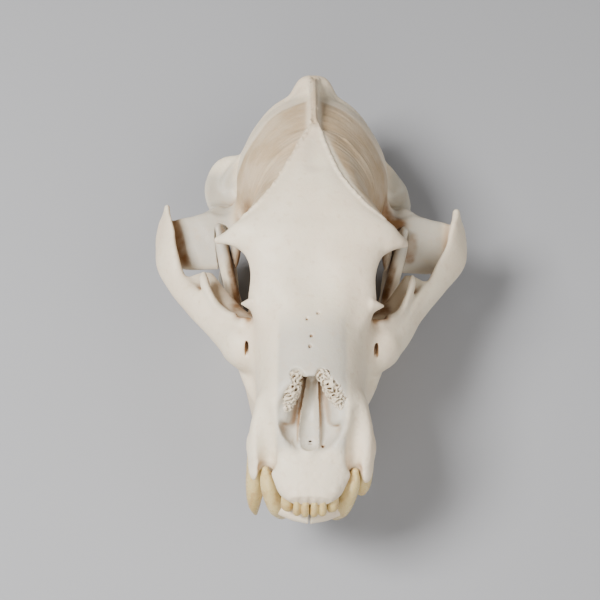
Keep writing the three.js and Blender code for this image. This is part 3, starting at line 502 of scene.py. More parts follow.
shelf_root = Ribbon(6, [
    [64, 189, 82, 11, 5, 0, 0.9, 0.43],
    [53, 196, 84, 13, 5.2, 0.1, 0.9, 0.43],
    [40, 203, 88, 14, 6, 0.2, 0.88, 0.43],
])
jaw_stop = Lump(5, [55, 211, 75], [9.5, 4.5, 9])
socket_rim = Ribbon(3, [
    [39, 103, 92, 4.5, 3.6],
    [46.5, 109, 89, 4, 3.2],
    [55, 119, 87, 3.8, 3],
    [61, 130, 88, 4.2, 2.8],
    [63.6, 137.6, 90.4, 3.2, 2.8],
    [64, 140.6, 91.4, 2, 2],
])
socket_floor = Ribbon(4, [
    [38, 110, 82, 9, 3.4, -0.5, 0.8, -0.3],
    [49, 121, 80, 11, 3.2, -0.66, 0.7, -0.25],
    [59, 135, 79.5, 11, 3, -0.75, 0.62, -0.2],
    [67, 149, 80, 9, 3, -0.85, 0.5, -0.1],
])
tear_point = Ribbon(2, [[33, 100.5, 109, 5, 3.5], [37, 101, 108.5, 2.6, 2], [39.6, 101.6, 108, 0.9, 0.9]])

nose_hole = Ribbon(5, [
    [0, 14, 106, 19, 16.5, 0, 0.62, 0.78],
    [0, 35, 92, 19, 17.5, 0, 0.62, 0.78],
    [0, 60, 87, 17, 15, 0, 0.3, 0.95],
    [0, 100, 92, 13, 11],
])
vomer = Ribbon(1.5, [
    [-1, 24, 72, 7, 7.4, 0, -0.6, 0.8],
    [-1, 40, 82, 9, 6.2, 0, -0.6, 0.8],
    [0, 58, 93, 9, 4, 0, -0.6, 0.8],
    [0, 85, 97, 8, 3, 0, -0.3, 0.9],
])
vomer_groove = Ribbon(0.6, [
    [-1, 26, 81.5, 4.4, 5.6, 0, -0.6, 0.8],
    [-1, 36, 88, 6.5, 5, 0, -0.6, 0.8],
    [0, 54, 99, 6, 2.8, 0, -0.6, 0.8],
])
nose_floor = Ribbon(5, [
    [8, 24, 68, 5, 10, 0, -0.6, 0.8],
    [8, 42, 77, 6, 11, 0, -0.6, 0.8],
    [8, 60, 88.5, 7, 10, 0, -0.6, 0.8],
])
palate_canals = [Lump(0.6, [-0.4, 29.5, 73], [1.1, 2.2, 5]), Lump(0.5, [6.4, 26.5, 74], [0.8, 0.9, 4])]
scroll = Ribbon(3, [
    [13.5, 38, 86, 6, 3, 0.5, -0.5, 0.7],
    [12, 52, 94, 8, 4, 0.4, -0.5, 0.75],
    [9, 70, 100, 9, 5, 0.2, -0.3, 0.9],
])
nose_plug = Lump(4, [0, 84, 98], [18, 16, 16])
brow_dents = [
    Lump(9, [0, 98, 132], [15, 14, 9]),
    Ribbon(6, [[0, 172, 156.4, 4, 5], [0, 196, 158, 4, 3]]),
    Lump(9, [30, 74, 122], [8, 22, 12]),
]
muzzle_fold = Ribbon(5, [
    [27.2, 36, 92, 4.6, 4.6],
    [24.4, 27.4, 81.4, 5, 5],
    [22.4, 22, 70, 4.4, 4.4],
])
eye_socket = Lump(3.5, [48.4, 122, 107.5], [17, 18.5, 17.5])
temple = Ribbon(5, [
    [50, 148, 112, 9, 9],
    [46, 166, 104, 12, 11],
    [53, 184, 103, 10, 9],
])
ear_trough = Ribbon(4, [
    [47, 240, 97, 6, 5],
    [53, 228, 92, 7, 5.5],
    [53, 214, 92, 7, 5.5],
    [56, 200, 95, 6, 6],
])
canine_edge = Ribbon(2.5, [
    [CANINE_HALF - 11, 21, 54, 5, 5],
    [CANINE_HALF - 3, 26, 54.5, 7, 8],
    [CANINE_HALF + 3, 34, 54, 5, 7],
])
nose_notch_right = Ribbon(1, [
    [-3.4, 41, 106, 5, 3.6],
    [-6.5, 47, 107.5, 5, 3.4],
    [-9.1, 50.8, 109.5, 4, 3],
])
nose_notch_left = Ribbon(1, [
    [3.2, 41, 106, 5, 3.4],
    [3.9, 46.5, 107.5, 5, 2.8],
    [4.6, 50.8, 110, 4, 2.2],
])
tear_notch = Ribbon(1.5, [[38, 105, 104, 3, 3], [40, 107, 90, 3, 3]])
cheek_canal = Ribbon(1, [[36.8, 76, 85.4, 2.4, 0.9], [36.5, 88, 87, 2.8, 1], [36, 94, 87.4, 2.4, 1.2]])
spinal_hole = Ribbon(3, [[0, 292, 80, 11, 13], [0, 262, 84, 11, 13], [0, 234, 88, 9, 11]])
throat_hole = Ribbon(2, [[0, 206, 68, 6, 10], [0, 160, 71, 6, 9.5], [0, 134, 74, 5, 8]])
ear_hole = Ribbon(1.5, [[72, 222, 74, 3.4, 3.4], [48, 222, 74, 3.2, 3.2]])
jaw_socket = Ribbon(3, [
    [39, 202.6, 71.6, 7, 7],
    [58, 199.5, 73.2, 7.8, 7.4],
    [76, 196.4, 73.8, 7, 6.4],
])
palate_hole = Lump(1.5, [5.4, 31, 64], [2.6, 5.5, 14])
canine_room = Ribbon(3, [[x, y, z, a + 1.6, b + 1.6, 0, 1, 0] for x, y, z, a, b in LOWER_CANINE])

CRANIUM_FORMS = [
    snout, forehead, braincase, skull_base, canine_root, canine_collar, *incisor_roots, tooth_bed,
    postorbital, sagittal_crest, nuchal_crest,
    crest_foot, occiput, mastoid, bulla, ear_tube, condyle, paroccipital, pterygoid,
    cheek_root, cheek_bar, cheek_shelf, shelf_root, jaw_stop, socket_rim, socket_floor,
]
CRANIUM_HOLLOWS = [
    nose_hole, *brow_dents, muzzle_fold, eye_socket, temple, ear_trough, tear_notch, cheek_canal,
    spinal_hole, throat_hole,
    ear_hole, jaw_socket, palate_hole, canine_edge, canine_room,
]
INSIDE = [nose_plug, nose_floor, scroll, tear_point]
ONE_SIDED_FORMS = [ear_flange_right, ear_flange_left, vomer]
ONE_SIDED_HOLLOWS = [nose_notch_right, nose_notch_left, vomer_groove, *palate_canals]

# Lower jaw, one half

jaw_body = Ribbon(6, [
    [17, 20, 37, 8, 7],
    [17.4, 31, 31, 14, 8.2],
    [18.2, 48, 27, 17, 8.2],
    [23, 75, 24, 19, 7.5],
    [29.5, 105, 22.5, 20, 7.5],
    [36, 130, 23, 20, 7],
    [43.5, 152, 27, 20, 6],
    [50, 170, 34, 18, 5],
])
chin = Ribbon(6, [
    [6, 11, 39, 5, 7],
    [7, 26, 31, 11, 8],
    [6, 46, 24, 8, 6],
])
chin_bar = Ribbon(4, [
    [0, 7.2, 40.5, 5, 5.4],
    [10, 10, 41, 4.8, 5],
    [18, 14.5, 40.5, 5.4, 5.4],
])
coronoid = Ribbon(6, [
    [50, 173, 40, 23, 4.6, 0, 1, 0],
    [51, 173, 58, 17, 3.8, 0, 1, 0],
    [53.5, 177, 76, 12, 3.4, 0, 1, 0],
    [55.6, 180.5, 86, 8, 3, 0, 1, 0],
    [57.4, 183, 91, 4.5, 2.4, 0, 1, 0],
])
coronoid_edge = Ribbon(4, [
    [45, 146, 44, 5, 4.5],
    [48.5, 157, 62, 4, 4],
    [53, 166, 79, 3.4, 3.4],
    [56, 173, 87.5, 2.8, 2.8],
])
condyle_neck = Ribbon(6, [[54, 186, 48, 11, 4.6, 0, 1, 0], [59, 197, 66, 7, 6, 0, 1, 0]])
jaw_condyle = Ribbon(4, [[43, 202, 71, 5.6, 5.6], [58, 199.5, 72.5, 6.6, 6.2], [70, 197.4, 73, 5.6, 5]])
jaw_angle = Ribbon(6, [
    [53, 174, 26.4, 13, 4.6],
    [55, 192, 27, 9, 4.6],
    [57, 203, 24.8, 5, 4],
    [58, 209, 25.8, 3, 2.6],
])
chewing_hollow = Lump(4, [63, 180, 46], [9, 15, 20])
chin_hole = Lump(1, [28, 40, 28], [5, 2, 1.8])
JAW_FORMS = [jaw_body, chin, chin_bar, coronoid, coronoid_edge, condyle_neck, jaw_condyle, jaw_angle]
JAW_HOLLOWS = [chewing_hollow, chin_hole]


# Meshes

TURN = np.array([
    [1, 0, 0],
    [0, math.cos(NOSE_UP), math.sin(NOSE_UP)],
    [0, -math.sin(NOSE_UP), math.cos(NOSE_UP)],
])


def to_part(points):
    """Places in the part's frame, in metres, of places in the skull's frame."""
    return (points @ TURN.T + PLACE) * MM


def piece(name, points, faces, material, marks):
    """Object of the part from points in the skull's frame, with a number at each point for each mark."""
    mesh = bpy.data.meshes.new(name)
    mesh.vertices.add(len(points))
    mesh.vertices.foreach_set("co", to_part(points).astype(np.float32).ravel())
    mesh.loops.add(faces.size)
    mesh.loops.foreach_set("vertex_index", faces.astype(np.int32).ravel())
    mesh.polygons.add(len(faces))
    mesh.polygons.foreach_set("loop_start", np.arange(0, faces.size, faces.shape[1], dtype=np.int32))
    mesh.polygons.foreach_set("use_smooth", np.ones(len(faces), bool))
    for mark, values in marks.items():
        attribute = mesh.attributes.new(mark, "FLOAT", "POINT")
        attribute.data.foreach_set("value", values.astype(np.float32))
    mesh.update(calc_edges=True)
    mesh.validate()
    obj = bpy.data.objects.new(name, mesh)
    bpy.context.collection.objects.link(obj)
    obj.data.materials.append(material)
    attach(obj, "root")
    return obj


def mirrored_field(half):
    return np.concatenate([half[:0:-1], half])


def mirrored_axes(axes):
    return [np.concatenate([-axes[0][:0:-1], axes[0]]), axes[1], axes[2]]


def shelter(field, axes, points, normals):
    """How much each point lies in a hollow, from 0 in the open to 1 deep inside. The bone is painted dark
    brown by it, as painted shade in its hollows.
    """
    reaches = (2.0, 4.0, 8.0, 14.0)
    total = np.zeros(len(points))
    for reach in reaches:
        total += np.clip(1 - sample(field, axes, points + normals * reach) / reach, 0, 2)
    return np.clip(total / len(reaches), 0, 1)


class Nodes:
    """Shorthand for the nodes of a material."""

    def __init__(self, name):
        self.material = bpy.data.materials.new(name)
        self.material.use_nodes = True
        self.tree = self.material.node_tree
        self.shader = self.tree.nodes["Principled BSDF"]
        self.place = self.add("ShaderNodeTexCoord").outputs["Object"]

    def add(self, kind, **settings):
        node = self.tree.nodes.new(kind)
        for key, value in settings.items():
            setattr(node, key, value)
        return node

    def feed(self, socket, value):
        if isinstance(value, bpy.types.NodeSocket):
            self.tree.links.new(value, socket)
        else:
            socket.default_value = value

    def mark(self, name):
        return self.add("ShaderNodeAttribute", attribute_name=name).outputs["Fac"]

    def noise(self, scale, detail=4.0, stretch=(1, 1, 1)):
        mapping = self.add("ShaderNodeMapping")
        self.feed(mapping.inputs["Vector"], self.place)
        mapping.inputs["Scale"].default_value = stretch
        node = self.add("ShaderNodeTexNoise")
        self.feed(node.inputs["Vector"], mapping.outputs["Vector"])
        node.inputs["Scale"].default_value = scale
        node.inputs["Detail"].default_value = detail
        return node.outputs["Fac"]

    def times(self, a, b):
        node = self.add("ShaderNodeMath", operation="MULTIPLY", use_clamp=True)
        self.feed(node.inputs[0], a)
        self.feed(node.inputs[1], b)
        return node.outputs[0]

    def span(self, value, low, high, to_low=0.0, to_high=1.0):
        node = self.add("ShaderNodeMapRange", interpolation_type="SMOOTHSTEP")
        names = ("Value", "From Min", "From Max", "To Min", "To Max")
        for name, number in zip(names, (value, low, high, to_low, to_high)):
            self.feed(node.inputs[name], number)
        return node.outputs["Result"]

    def mix(self, share, a, b):
        node = self.add("ShaderNodeMix", data_type="RGBA")
        for name, value in (("Factor_Float", share), ("A_Color", a), ("B_Color", b)):
            socket = next(one for one in node.inputs if one.identifier == name)
            self.feed(socket, (*value, 1) if isinstance(value, tuple) else value)
        return next(one for one in node.outputs if one.identifier == "Result_Color")

    def bump(self, height, strength, distance, normal=None):
        node = self.add("ShaderNodeBump")
        self.feed(node.inputs["Height"], height)
        node.inputs["Strength"].default_value = strength
        node.inputs["Distance"].default_value = distance
        if normal is not None:
            self.feed(node.inputs["Normal"], normal)
        return node.outputs["Normal"]


def bone_material():
    n = Nodes("bone")
    hollow_shade = n.mark("hollow_shade")
    broad = n.noise(22, 5)
    grain = n.noise(260, 6)
    colour = n.mix(n.span(broad, 0.36, 0.64), (0.82, 0.71, 0.53), (0.77, 0.63, 0.46))
    patchy = n.times(n.mark("fossa"), n.span(n.noise(60, 6), 0.3, 0.7, 0.6, 1.0))
    colour = n.mix(patchy, colour, (0.49, 0.35, 0.20))
    colour = n.mix(n.times(n.mark("cool"), 0.75), colour, (0.48, 0.45, 0.38))
    colour = n.mix(n.span(grain, 0.52, 0.8, 0, 0.4), colour, (0.60, 0.44, 0.28))
    # Painted shade: the bone turns dark brown deep in its hollows.
    colour = n.mix(n.span(hollow_shade, 0.35, 0.95, 0, 0.85), colour, (0.30, 0.155, 0.055))
    # Dark brown of stain and painted shade: dried tissue, plus painted shade on the shaded walls behind the
    # eyes, inside the right cheek arch and on the jaw's blade.
    stain_and_shade = n.times(n.mark("stain_and_shade"), n.span(n.noise(90, 5), 0.3, 0.62, 0.4, 1.0))
    colour = n.mix(stain_and_shade, colour, (0.22, 0.105, 0.035))
    n.feed(n.shader.inputs["Base Color"], colour)
    n.feed(n.shader.inputs["Roughness"], n.span(n.noise(120, 4), 0.3, 0.7, 0.45, 0.65))
    n.shader.inputs["Subsurface Weight"].default_value = 0.08
    n.shader.inputs["Subsurface Radius"].default_value = (0.004, 0.0025, 0.0015)
    n.shader.inputs["Subsurface Scale"].default_value = 0.4
    coarse = n.bump(n.noise(420, 5), 0.25, 0.0006)
    n.feed(n.shader.inputs["Normal"], n.bump(n.noise(1500, 3), 0.25, 0.0003, coarse))
    return n.material


def tooth_material():
    n = Nodes("tooth")
    root = n.mark("root")
    streak = n.noise(300, 4, (1, 1, 0.25))
    colour = n.mix(n.span(root, 0.1, 1.0), (0.56, 0.39, 0.11), (0.66, 0.51, 0.23))
    colour = n.mix(n.span(streak, 0.45, 0.75, 0, 0.6), colour, (0.44, 0.24, 0.07))
    n.feed(n.shader.inputs["Base Color"], colour)
    n.feed(n.shader.inputs["Roughness"], n.span(n.noise(200, 3), 0.3, 0.7, 0.22, 0.38))
    n.shader.inputs["Subsurface Weight"].default_value = 0.15
    n.shader.inputs["Subsurface Radius"].default_value = (0.003, 0.002, 0.001)
    n.shader.inputs["Subsurface Scale"].default_value = 0.5
    n.feed(n.shader.inputs["Normal"], n.bump(streak, 0.15, 0.0003))
    return n.material


bone = bone_material()
tooth = tooth_material()


# Teeth

UPPER_CANINE = [
    [CANINE_HALF - 6, 32.5, 66, 7.6, 6.2],
    [CANINE_HALF - 4.6, 28, 56, 7, 5.4],
    [CANINE_HALF - 3.8, 23.5, 43, 6.4, 5],
    [CANINE_HALF - 3.4, 22, 30, 4.6, 3.6],
    [CANINE_HALF - 4, 22.5, 19.5, 1.5, 1.3],
]
BROKEN_CANINE = [
    [CANINE_HALF - 6, 32.5, 66, 7.6, 6.2],
    [CANINE_HALF - 4.6, 28, 56, 7, 5.4],
    [CANINE_HALF - 5.2, 23.5, 48, 6.4, 4.8],
    [CANINE_HALF - 5.4, 22.5, 45, 4.8, 3.6],
]
INCISORS = [
    dict(x=2.3, y=2, turn=1.5, wide=2.2, deep=3),
    dict(x=6.8, y=2.8, turn=1.4, wide=2.3, deep=3.2),
    dict(x=12.4, y=6, turn=1, wide=3.4, deep=3.4),
]
OVERBITE = 2
INCISOR_STEP = 5.5
LOWER_INCISOR_SHARE = 0.73
UPPER_CHEEK = [
    dict(x=31.5, y=40.5, length=5, wide=3.6, cusps=0, short=4),
    dict(x=33, y=87.5, length=11.5, wide=8.5, cusps=1, short=0),
    dict(x=34.5, y=103.5, length=18.5, wide=13.5, cusps=2, short=0),
    dict(x=33.5, y=127, length=27, wide=14, cusps=3, short=0),
]
LOWER_CHEEK = [
    dict(x=24.5, y=79, length=9, wide=5, cusps=1, short=0),
    dict(x=27.5, y=95, length=19.5, wide=8.5, cusps=2, short=0),
    dict(x=31.5, y=115.5, length=20, wide=10.5, cusps=2, short=0),
    dict(x=36, y=133.5, length=14, wide=10, cusps=2, short=0),
]
UPPER_GUM_FRONT = 58
UPPER_GUM_CHEEK = 56
LOWER_GUM_FRONT = 42
LOWER_GUM_CHEEK = 43
BITE_GAP = 0.5


def canine_forms(stations):
    return [Ribbon(1, [row + [0, 1, 0] for row in stations])], []


def incisor_forms(x, y, turn, wide, deep, gum, bite, lean):
    sign = 1 if bite > gum else -1
    row = [math.sin(turn), math.cos(turn), 0]
    stations = [
        [x, y + 3 + lean * 2, gum - 6 * sign, wide * 0.7, deep * 0.9],
        [x, y + lean, gum, wide * 0.86, deep],
        [x, y - 0.6, gum + (bite - gum) * 0.55, wide, deep * 0.9],
        [x, y, bite - sign, wide * 0.86, deep * 0.5],
    ]
    return [Ribbon(1, [station + row for station in stations])], []


def cheek_tooth_forms(x, y, length, wide, cusps, short, gum, bite):
    """Low crown on two roots, with a row of cusps along each edge and a basin between them."""
    sign = 1 if bite > gum else -1
    bite += short if sign < 0 else -short
    tall = abs(bite - gum)
    forms = [Lump(1.5, [x, y, gum + sign * tall * 0.3], [wide * 0.5, length * 0.5, tall * 0.62])]
    for end in (-0.26, 0.26):
        root = [[x, y + end * length, gum - sign * 5], [x, y + end * length, gum]]
        forms.append(Ribbon(2, [place + [length * 0.2, wide * 0.34, 0, 1, 0] for place in root]))
    for number in range(cusps):
        along = y + length * ((number + 0.5) / cusps - 0.5) * 0.84
        for edge in (-1, 1):
            middle = [x + edge * wide * 0.27, along, bite - sign * tall * 0.36]
            forms.append(Lump(1.0, middle, [wide * 0.19, length * 0.4 / cusps, tall * 0.36]))
    basin = [Lump(1.0, [x, y, bite], [wide * 0.12, length * 0.36, tall * 0.3])] if cusps else []
    return forms, basin


def tooth_piece(name, shapes, gum, side=1):
    """Teeth of one piece. The mark root is 0 at the tip and 1 at the gum."""
    forms = [form for made, _ in shapes for form in made]
    hollows = [form for _, cut in shapes for form in cut]
    shrink = MARGIN - 2
    low = np.min([form.low for form in forms], axis=0) + shrink
    high = np.max([form.high for form in forms], axis=0) - shrink
    axes = grid(low, high, TOOTH_STEP)
    field = field_of(axes, forms, hollows)
    points, faces = surface(field, axes)
    normals = normals_of(points, faces)
    points = points + normals * (0.06 * value_noise(points * [1, 1, 0.3], 1.6, 5))[:, None]
    tip = points[:, 2].max() if points[:, 2].mean() > gum else points[:, 2].min()
    root = np.clip((points[:, 2] - tip) / (gum - tip), 0, 1)
    if side < 0:
        points = points * [-1, 1, 1]
        faces = faces[:, ::-1]
    return piece(name, points, faces, tooth, {"root": root})


SIDES = (("left", 1), ("right", -1))
upper_bite = BITE_Z + BITE_GAP / 2
lower_bite = BITE_Z - BITE_GAP / 2
tooth_piece("upper_canine_left", [canine_forms(BROKEN_CANINE)], UPPER_GUM_CHEEK)
tooth_piece("upper_canine_right", [canine_forms(UPPER_CANINE)], UPPER_GUM_CHEEK, -1)
for name, side in SIDES:
    tooth_piece("lower_canine_" + name, [canine_forms(LOWER_CANINE)], LOWER_GUM_CHEEK, side)
    front_bite = upper_bite - OVERBITE
    shapes = [incisor_forms(**row, gum=UPPER_GUM_FRONT, bite=front_bite, lean=1) for row in INCISORS]
    tooth_piece("upper_incisors_" + name, shapes, UPPER_GUM_FRONT, side)
    narrow = [dict(row, x=row["x"] * LOWER_INCISOR_SHARE, y=row["y"] + INCISOR_STEP,
                   wide=row["wide"] * LOWER_INCISOR_SHARE) for row in INCISORS]
    shapes = [incisor_forms(**row, gum=LOWER_GUM_FRONT, bite=lower_bite, lean=2) for row in narrow]
    tooth_piece("lower_incisors_" + name, shapes, LOWER_GUM_FRONT, side)
    shapes = [cheek_tooth_forms(**row, gum=UPPER_GUM_CHEEK, bite=upper_bite) for row in UPPER_CHEEK]
    tooth_piece("upper_cheek_teeth_" + name, shapes, UPPER_GUM_CHEEK, side)
    shapes = [cheek_tooth_forms(**row, gum=LOWER_GUM_CHEEK, bite=lower_bite) for row in LOWER_CHEEK]
    tooth_piece("lower_cheek_teeth_" + name, shapes, LOWER_GUM_CHEEK, side)


# Relief of the cranium, as lines of places x, y on its top

TEMPORAL_LINES = [
    [[-2.2, 209], [-3.6, 203], [-11.3, 185.5], [-18, 171], [-29.6, 152], [-41, 141]],
    [[1.9, 209], [3, 204], [8.8, 181], [15.6, 165], [26.8, 150.5], [40, 141]],
]
CREST_LINES = [[[-2.2, 209], [-1.7, 240], [-2.8, 276]], [[1.9, 209], [1.5, 240], [2.8, 276]]]
MUSCLE_LINES = [
    [[-8.4, 194], [-25.9, 187], [-34.7, 180]],
    [[18.6, 205], [30.9, 195.5], [35.5, 191]],
]
CREST_GROOVE = [[-0.2, 208], [-0.2, 240], [0, 277]]
FORAMINA = [[-3.2, 82], [2.7, 85.5], [-1.5, 66], [-0.8, 72]]
FORAMEN_RADII = [0.8, 0.9, 2.5]
BEAD_SIZE = 1.0
CHIPPED_EDGE = np.array([[7.5, 50.5, 109], [18.4, 39, 98]])
CHIP_COUNT = 9
CHIP_SEED = 21


def on_top(field, axes, line, half_height, half_thickness, lift=0.0, blend=1.2):
    return Ribbon(blend, drape(field, axes, line, half_height, half_thickness, lift))


def beads(field, axes, line, seed):
    """Grains along a ridge, of uneven size."""
    places = curve_rows(line, 12)
    walk = np.concatenate([[0], np.cumsum(np.linalg.norm(np.diff(places, axis=0), axis=1))])
    spots = np.arange(0, walk[-1], BEAD_SIZE * 1.9)
    x = np.interp(spots, walk, places[:, 0])
    y = np.interp(spots, walk, places[:, 1])
    rng = np.random.default_rng(seed)
    out = []
    for one, two in zip(x, y):
        radii = BEAD_SIZE * rng.uniform(0.5, 1.1, 3)
        place = np.array([one, two, 0]) + rng.normal(0, 0.3 * BEAD_SIZE, 3)
        place[2] += top_of(field, axes, one, two) + 0.1
        out.append(Lump(1, place, radii))
    return out


def chips():
    """Broken edge along the left rim of the nose."""
    rng = np.random.default_rng(CHIP_SEED)
    start, end = CHIPPED_EDGE
    out = []
    for share in np.linspace(0, 1, CHIP_COUNT):
        place = start * (1 - share) + end * share
        place += rng.normal(0, 0.8, 3)
        out.append(Lump(0.6, place, rng.uniform(0.9, 2.3, 3)))
    return out


def with_relief(field, axes):
    """Cranium with its ridges and grains, the groove in the crest, the broken edge and the small holes."""
    lines = TEMPORAL_LINES + CREST_LINES
    ridges = [on_top(field, axes, line, 0.8, 0.8) for line in lines]
    ridges += [on_top(field, axes, line, 0.35, 0.8, blend=2) for line in MUSCLE_LINES]
    for seed, line in enumerate(lines):
        ridges += beads(field, axes, line, seed)
    grooves = [on_top(field, axes, CREST_GROOVE, 1.4, 0.8, 0.4)] + chips()
    grooves += [Lump(0.4, [x, y, top_of(field, axes, x, y)], FORAMEN_RADII) for x, y in FORAMINA]
    return field_of(axes, [], grooves, ridges, field)


# Surface of the bones

# Half width of the forehead between the temporal lines, by length.
TEMPORAL_EDGE = [[141, 41], [150, 29.3], [165, 19], [181, 11], [203, 3.5], [209, 2.6], [290, 2.6]]
# Length where the muscle's field ends before the nuchal crest, by half width.
NUCHAL_EDGE = [[5, 252], [12, 247], [20, 243.5], [28, 238], [34, 231], [41, 224], [48, 220]]
# Front edge of the jaw's blade: height, x, y.
BLADE_EDGE = [[44, 45, 146], [62, 48.5, 157], [79, 53, 166], [88, 56, 173]]
# Where the lines of the muscle's field run together.
MUSCLE_END = np.array([52, 178, 100])
# Unevenness of the bone: height, size of the grains, seed.
GRAINS = [(0.7, 27, 4), (0.25, 11, 1), (0.04, 2.4, 2)]
MUSCLE_GRAIN = 0.16
PORE_SIZE = 1.5
CHEEK_INWARD = 5.5
# Brown along lines: start and end of a line, and how far it reaches from it. The first row is painted shade
# on the strip inside the right cheek arch, the second is painted shade on the shaded wall behind the left
# brow, the third is dried tissue by the top of the left jaw's blade, and the last two are brown by the
# notches in front of the eyes.
TISSUE_AND_SHADE_LINES = [
    [[-85.5, 189, 88], [-78, 166, 76], 5],
    [[46, 199, 98], [53, 191, 89], 9],
    [[61, 170, 79], [63, 184, 84], 5],
    [[-40, 104, 100], [-41, 108, 88], 6],
    [[40, 104, 100], [41, 108, 88], 6],
]


def fossa_share(points):
    """How far a point lies on the muscle's field beside the braincase or on the crest, from 0 to 1."""
    x, y, z = points.T
    side = np.abs(x)
    line = np.interp(y, *np.transpose(TEMPORAL_EDGE))
    back = np.interp(side, *np.transpose(NUCHAL_EDGE))
    field = (ease(0.5, 4, side - line) * ease(-1, 5, back - y) * ease(138, 148, y)
             * ease(84, 94, z) * ease(52, 46, side))
    crest = ease(3.4, 1.4, side) * ease(202, 210, y) * ease(284, 276, y)
    return np.maximum(field, 0.7 * crest)


def weathered(points, faces, fossa):
    """Points moved by the grain of the bone, and their normals. The grain is broad dents, fine unevenness,
    muscle lines and pores."""
    normals = normals_of(points, faces)
    folded = np.stack([np.abs(points[:, 0]), points[:, 1], points[:, 2]], axis=1)
    away = folded - MUSCLE_END
    turn = np.arctan2(away[:, 2], away[:, 1])
    reach = np.linalg.norm(away, axis=1)
    fan = np.stack([turn * 26, reach * 0.05, np.sign(points[:, 0])], axis=1)
    lines = value_noise(fan, 1, 7) + 0.6 * value_noise(fan * [2.3, 1, 1], 1, 8)
    front = ease(60, 30, points[:, 1]) * ease(50, 58, points[:, 2])
    pores = np.maximum(value_noise(points, PORE_SIZE, 3) - 0.35, 0)
    shift = sum(height * value_noise(points, size, seed) for height, size, seed in GRAINS)
    shift += MUSCLE_GRAIN * fossa * lines - (0.08 + 0.5 * front) * pores
    return points + normals * shift[:, None], normals


def uneven(points):
    """Points with the left cheekbone a little flatter than the right one."""
    inward = ease(44, 72, points[:, 0]) * ease(98, 124, points[:, 1]) * ease(176, 150, points[:, 1])
    return points - np.outer(inward, [CHEEK_INWARD, 0, 0])


def near_line(points, start, end, width):
    """1 on the line between two places, falling to 0 at the given distance."""
    start = np.array(start, float)
    along = np.array(end, float) - start
    share = np.clip((points - start) @ along / (along @ along), 0, 1)
    gap = np.linalg.norm(points - start - share[:, None] * along, axis=1)
    return ease(width, 0.35 * width, gap)


def cranium_stain_and_shade(points):
    """Brown on the wall behind the eye, partly stain and partly painted shade. Also brown along a few lines:
    painted shade inside the right cheek arch and on the wall behind the left brow, dried tissue by the left
    jaw's blade, and brown by the notches in front of the eyes.
    """
    x, y, z = points.T
    stain_and_shade = ease(120, 102, z) * ease(50, 44, np.abs(x)) * ease(110, 122, y) * ease(200, 182, y)
    for start, end, width in TISSUE_AND_SHADE_LINES:
        stain_and_shade = np.maximum(stain_and_shade, near_line(points, start, end, width))
    return stain_and_shade


def jaw_shade_and_stain(points):
    """Brown on the jaw's blade, behind its front edge and on the inner side of it: painted shade on these
    shaded faces, with some stain.
    """
    x, y, z = points.T
    heights, edge_x, edge_y = np.transpose(BLADE_EDGE)
    behind = ease(50, 62, z) * ease(2, 6, y - np.interp(z, heights, edge_y)) * ease(200, 190, y)
    inner = ease(0.5, -1.5, x - np.interp(z, heights, edge_x)) * ease(46, 54, z)
    inner *= ease(150, 158, y + 0.4 * (z - heights[0]))
    return np.maximum(behind, inner) * ease(84, 76, z) * ease(204, 194, y)


def cool_share(points):
    """Pale grey of the shelves over the jaw joint and of the inside of the nose."""
    side = np.abs(points[:, 0])
    y = points[:, 1]
    shelf = ease(46, 54, side) * ease(84, 79, side) * ease(160, 168, y) * ease(246, 236, y)
    nose = ease(20, 17, side) * ease(20, 26, y) * ease(95, 70, y)
    return np.maximum(shelf, nose)


def bone_marks(points, normals, fossa, field, axes, stain_and_shade):
    # Painted shade in the hollows, and the brown of stain and painted shade.
    hollow_shade = shelter(field, axes, points, normals)
    return {"hollow_shade": hollow_shade, "fossa": fossa, "stain_and_shade": stain_and_shade, "cool": cool_share(points)}


# Bones

CRANIUM_SPAN = ([0, -6, 44], [104, 292, 164])
JAW_SPAN = ([0, -4, -4], [92, 218, 116])
SCROLL_RIGHT = [[-8.8, 52, 105, 4, 4], [-11, 47, 98, 6, 5], [-14, 41.5, 90.5, 4, 4]]
SCROLL_LEFT = [[5.6, 52, 106, 4, 4], [11, 48, 100, 6, 5.5], [15, 43.5, 94, 5, 4.5], [16.5, 40, 88, 3, 3]]


def cranium():
    axes = grid(*CRANIUM_SPAN, BONE_STEP)
    half = field_of(axes, CRANIUM_FORMS, CRANIUM_HOLLOWS, INSIDE)
    jaw = field_of(axes, JAW_FORMS, JAW_HOLLOWS)
    half = np.maximum(half, JAW_CLEARANCE - jaw)
    axes = mirrored_axes(axes)
    field = field_of(axes, ONE_SIDED_FORMS, ONE_SIDED_HOLLOWS, field=mirrored_field(half))
    field = with_relief(field, axes)
    points, faces = surface(field, axes)
    fossa = fossa_share(points)
    points, normals = weathered(points, faces, fossa)
    marks = bone_marks(points, normals, fossa, field, axes, cranium_stain_and_shade(points))
    made = piece("cranium", uneven(points), faces, bone, marks)
    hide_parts("braincase", "face", "zygomatic_arch_left", "zygomatic_arch_right")


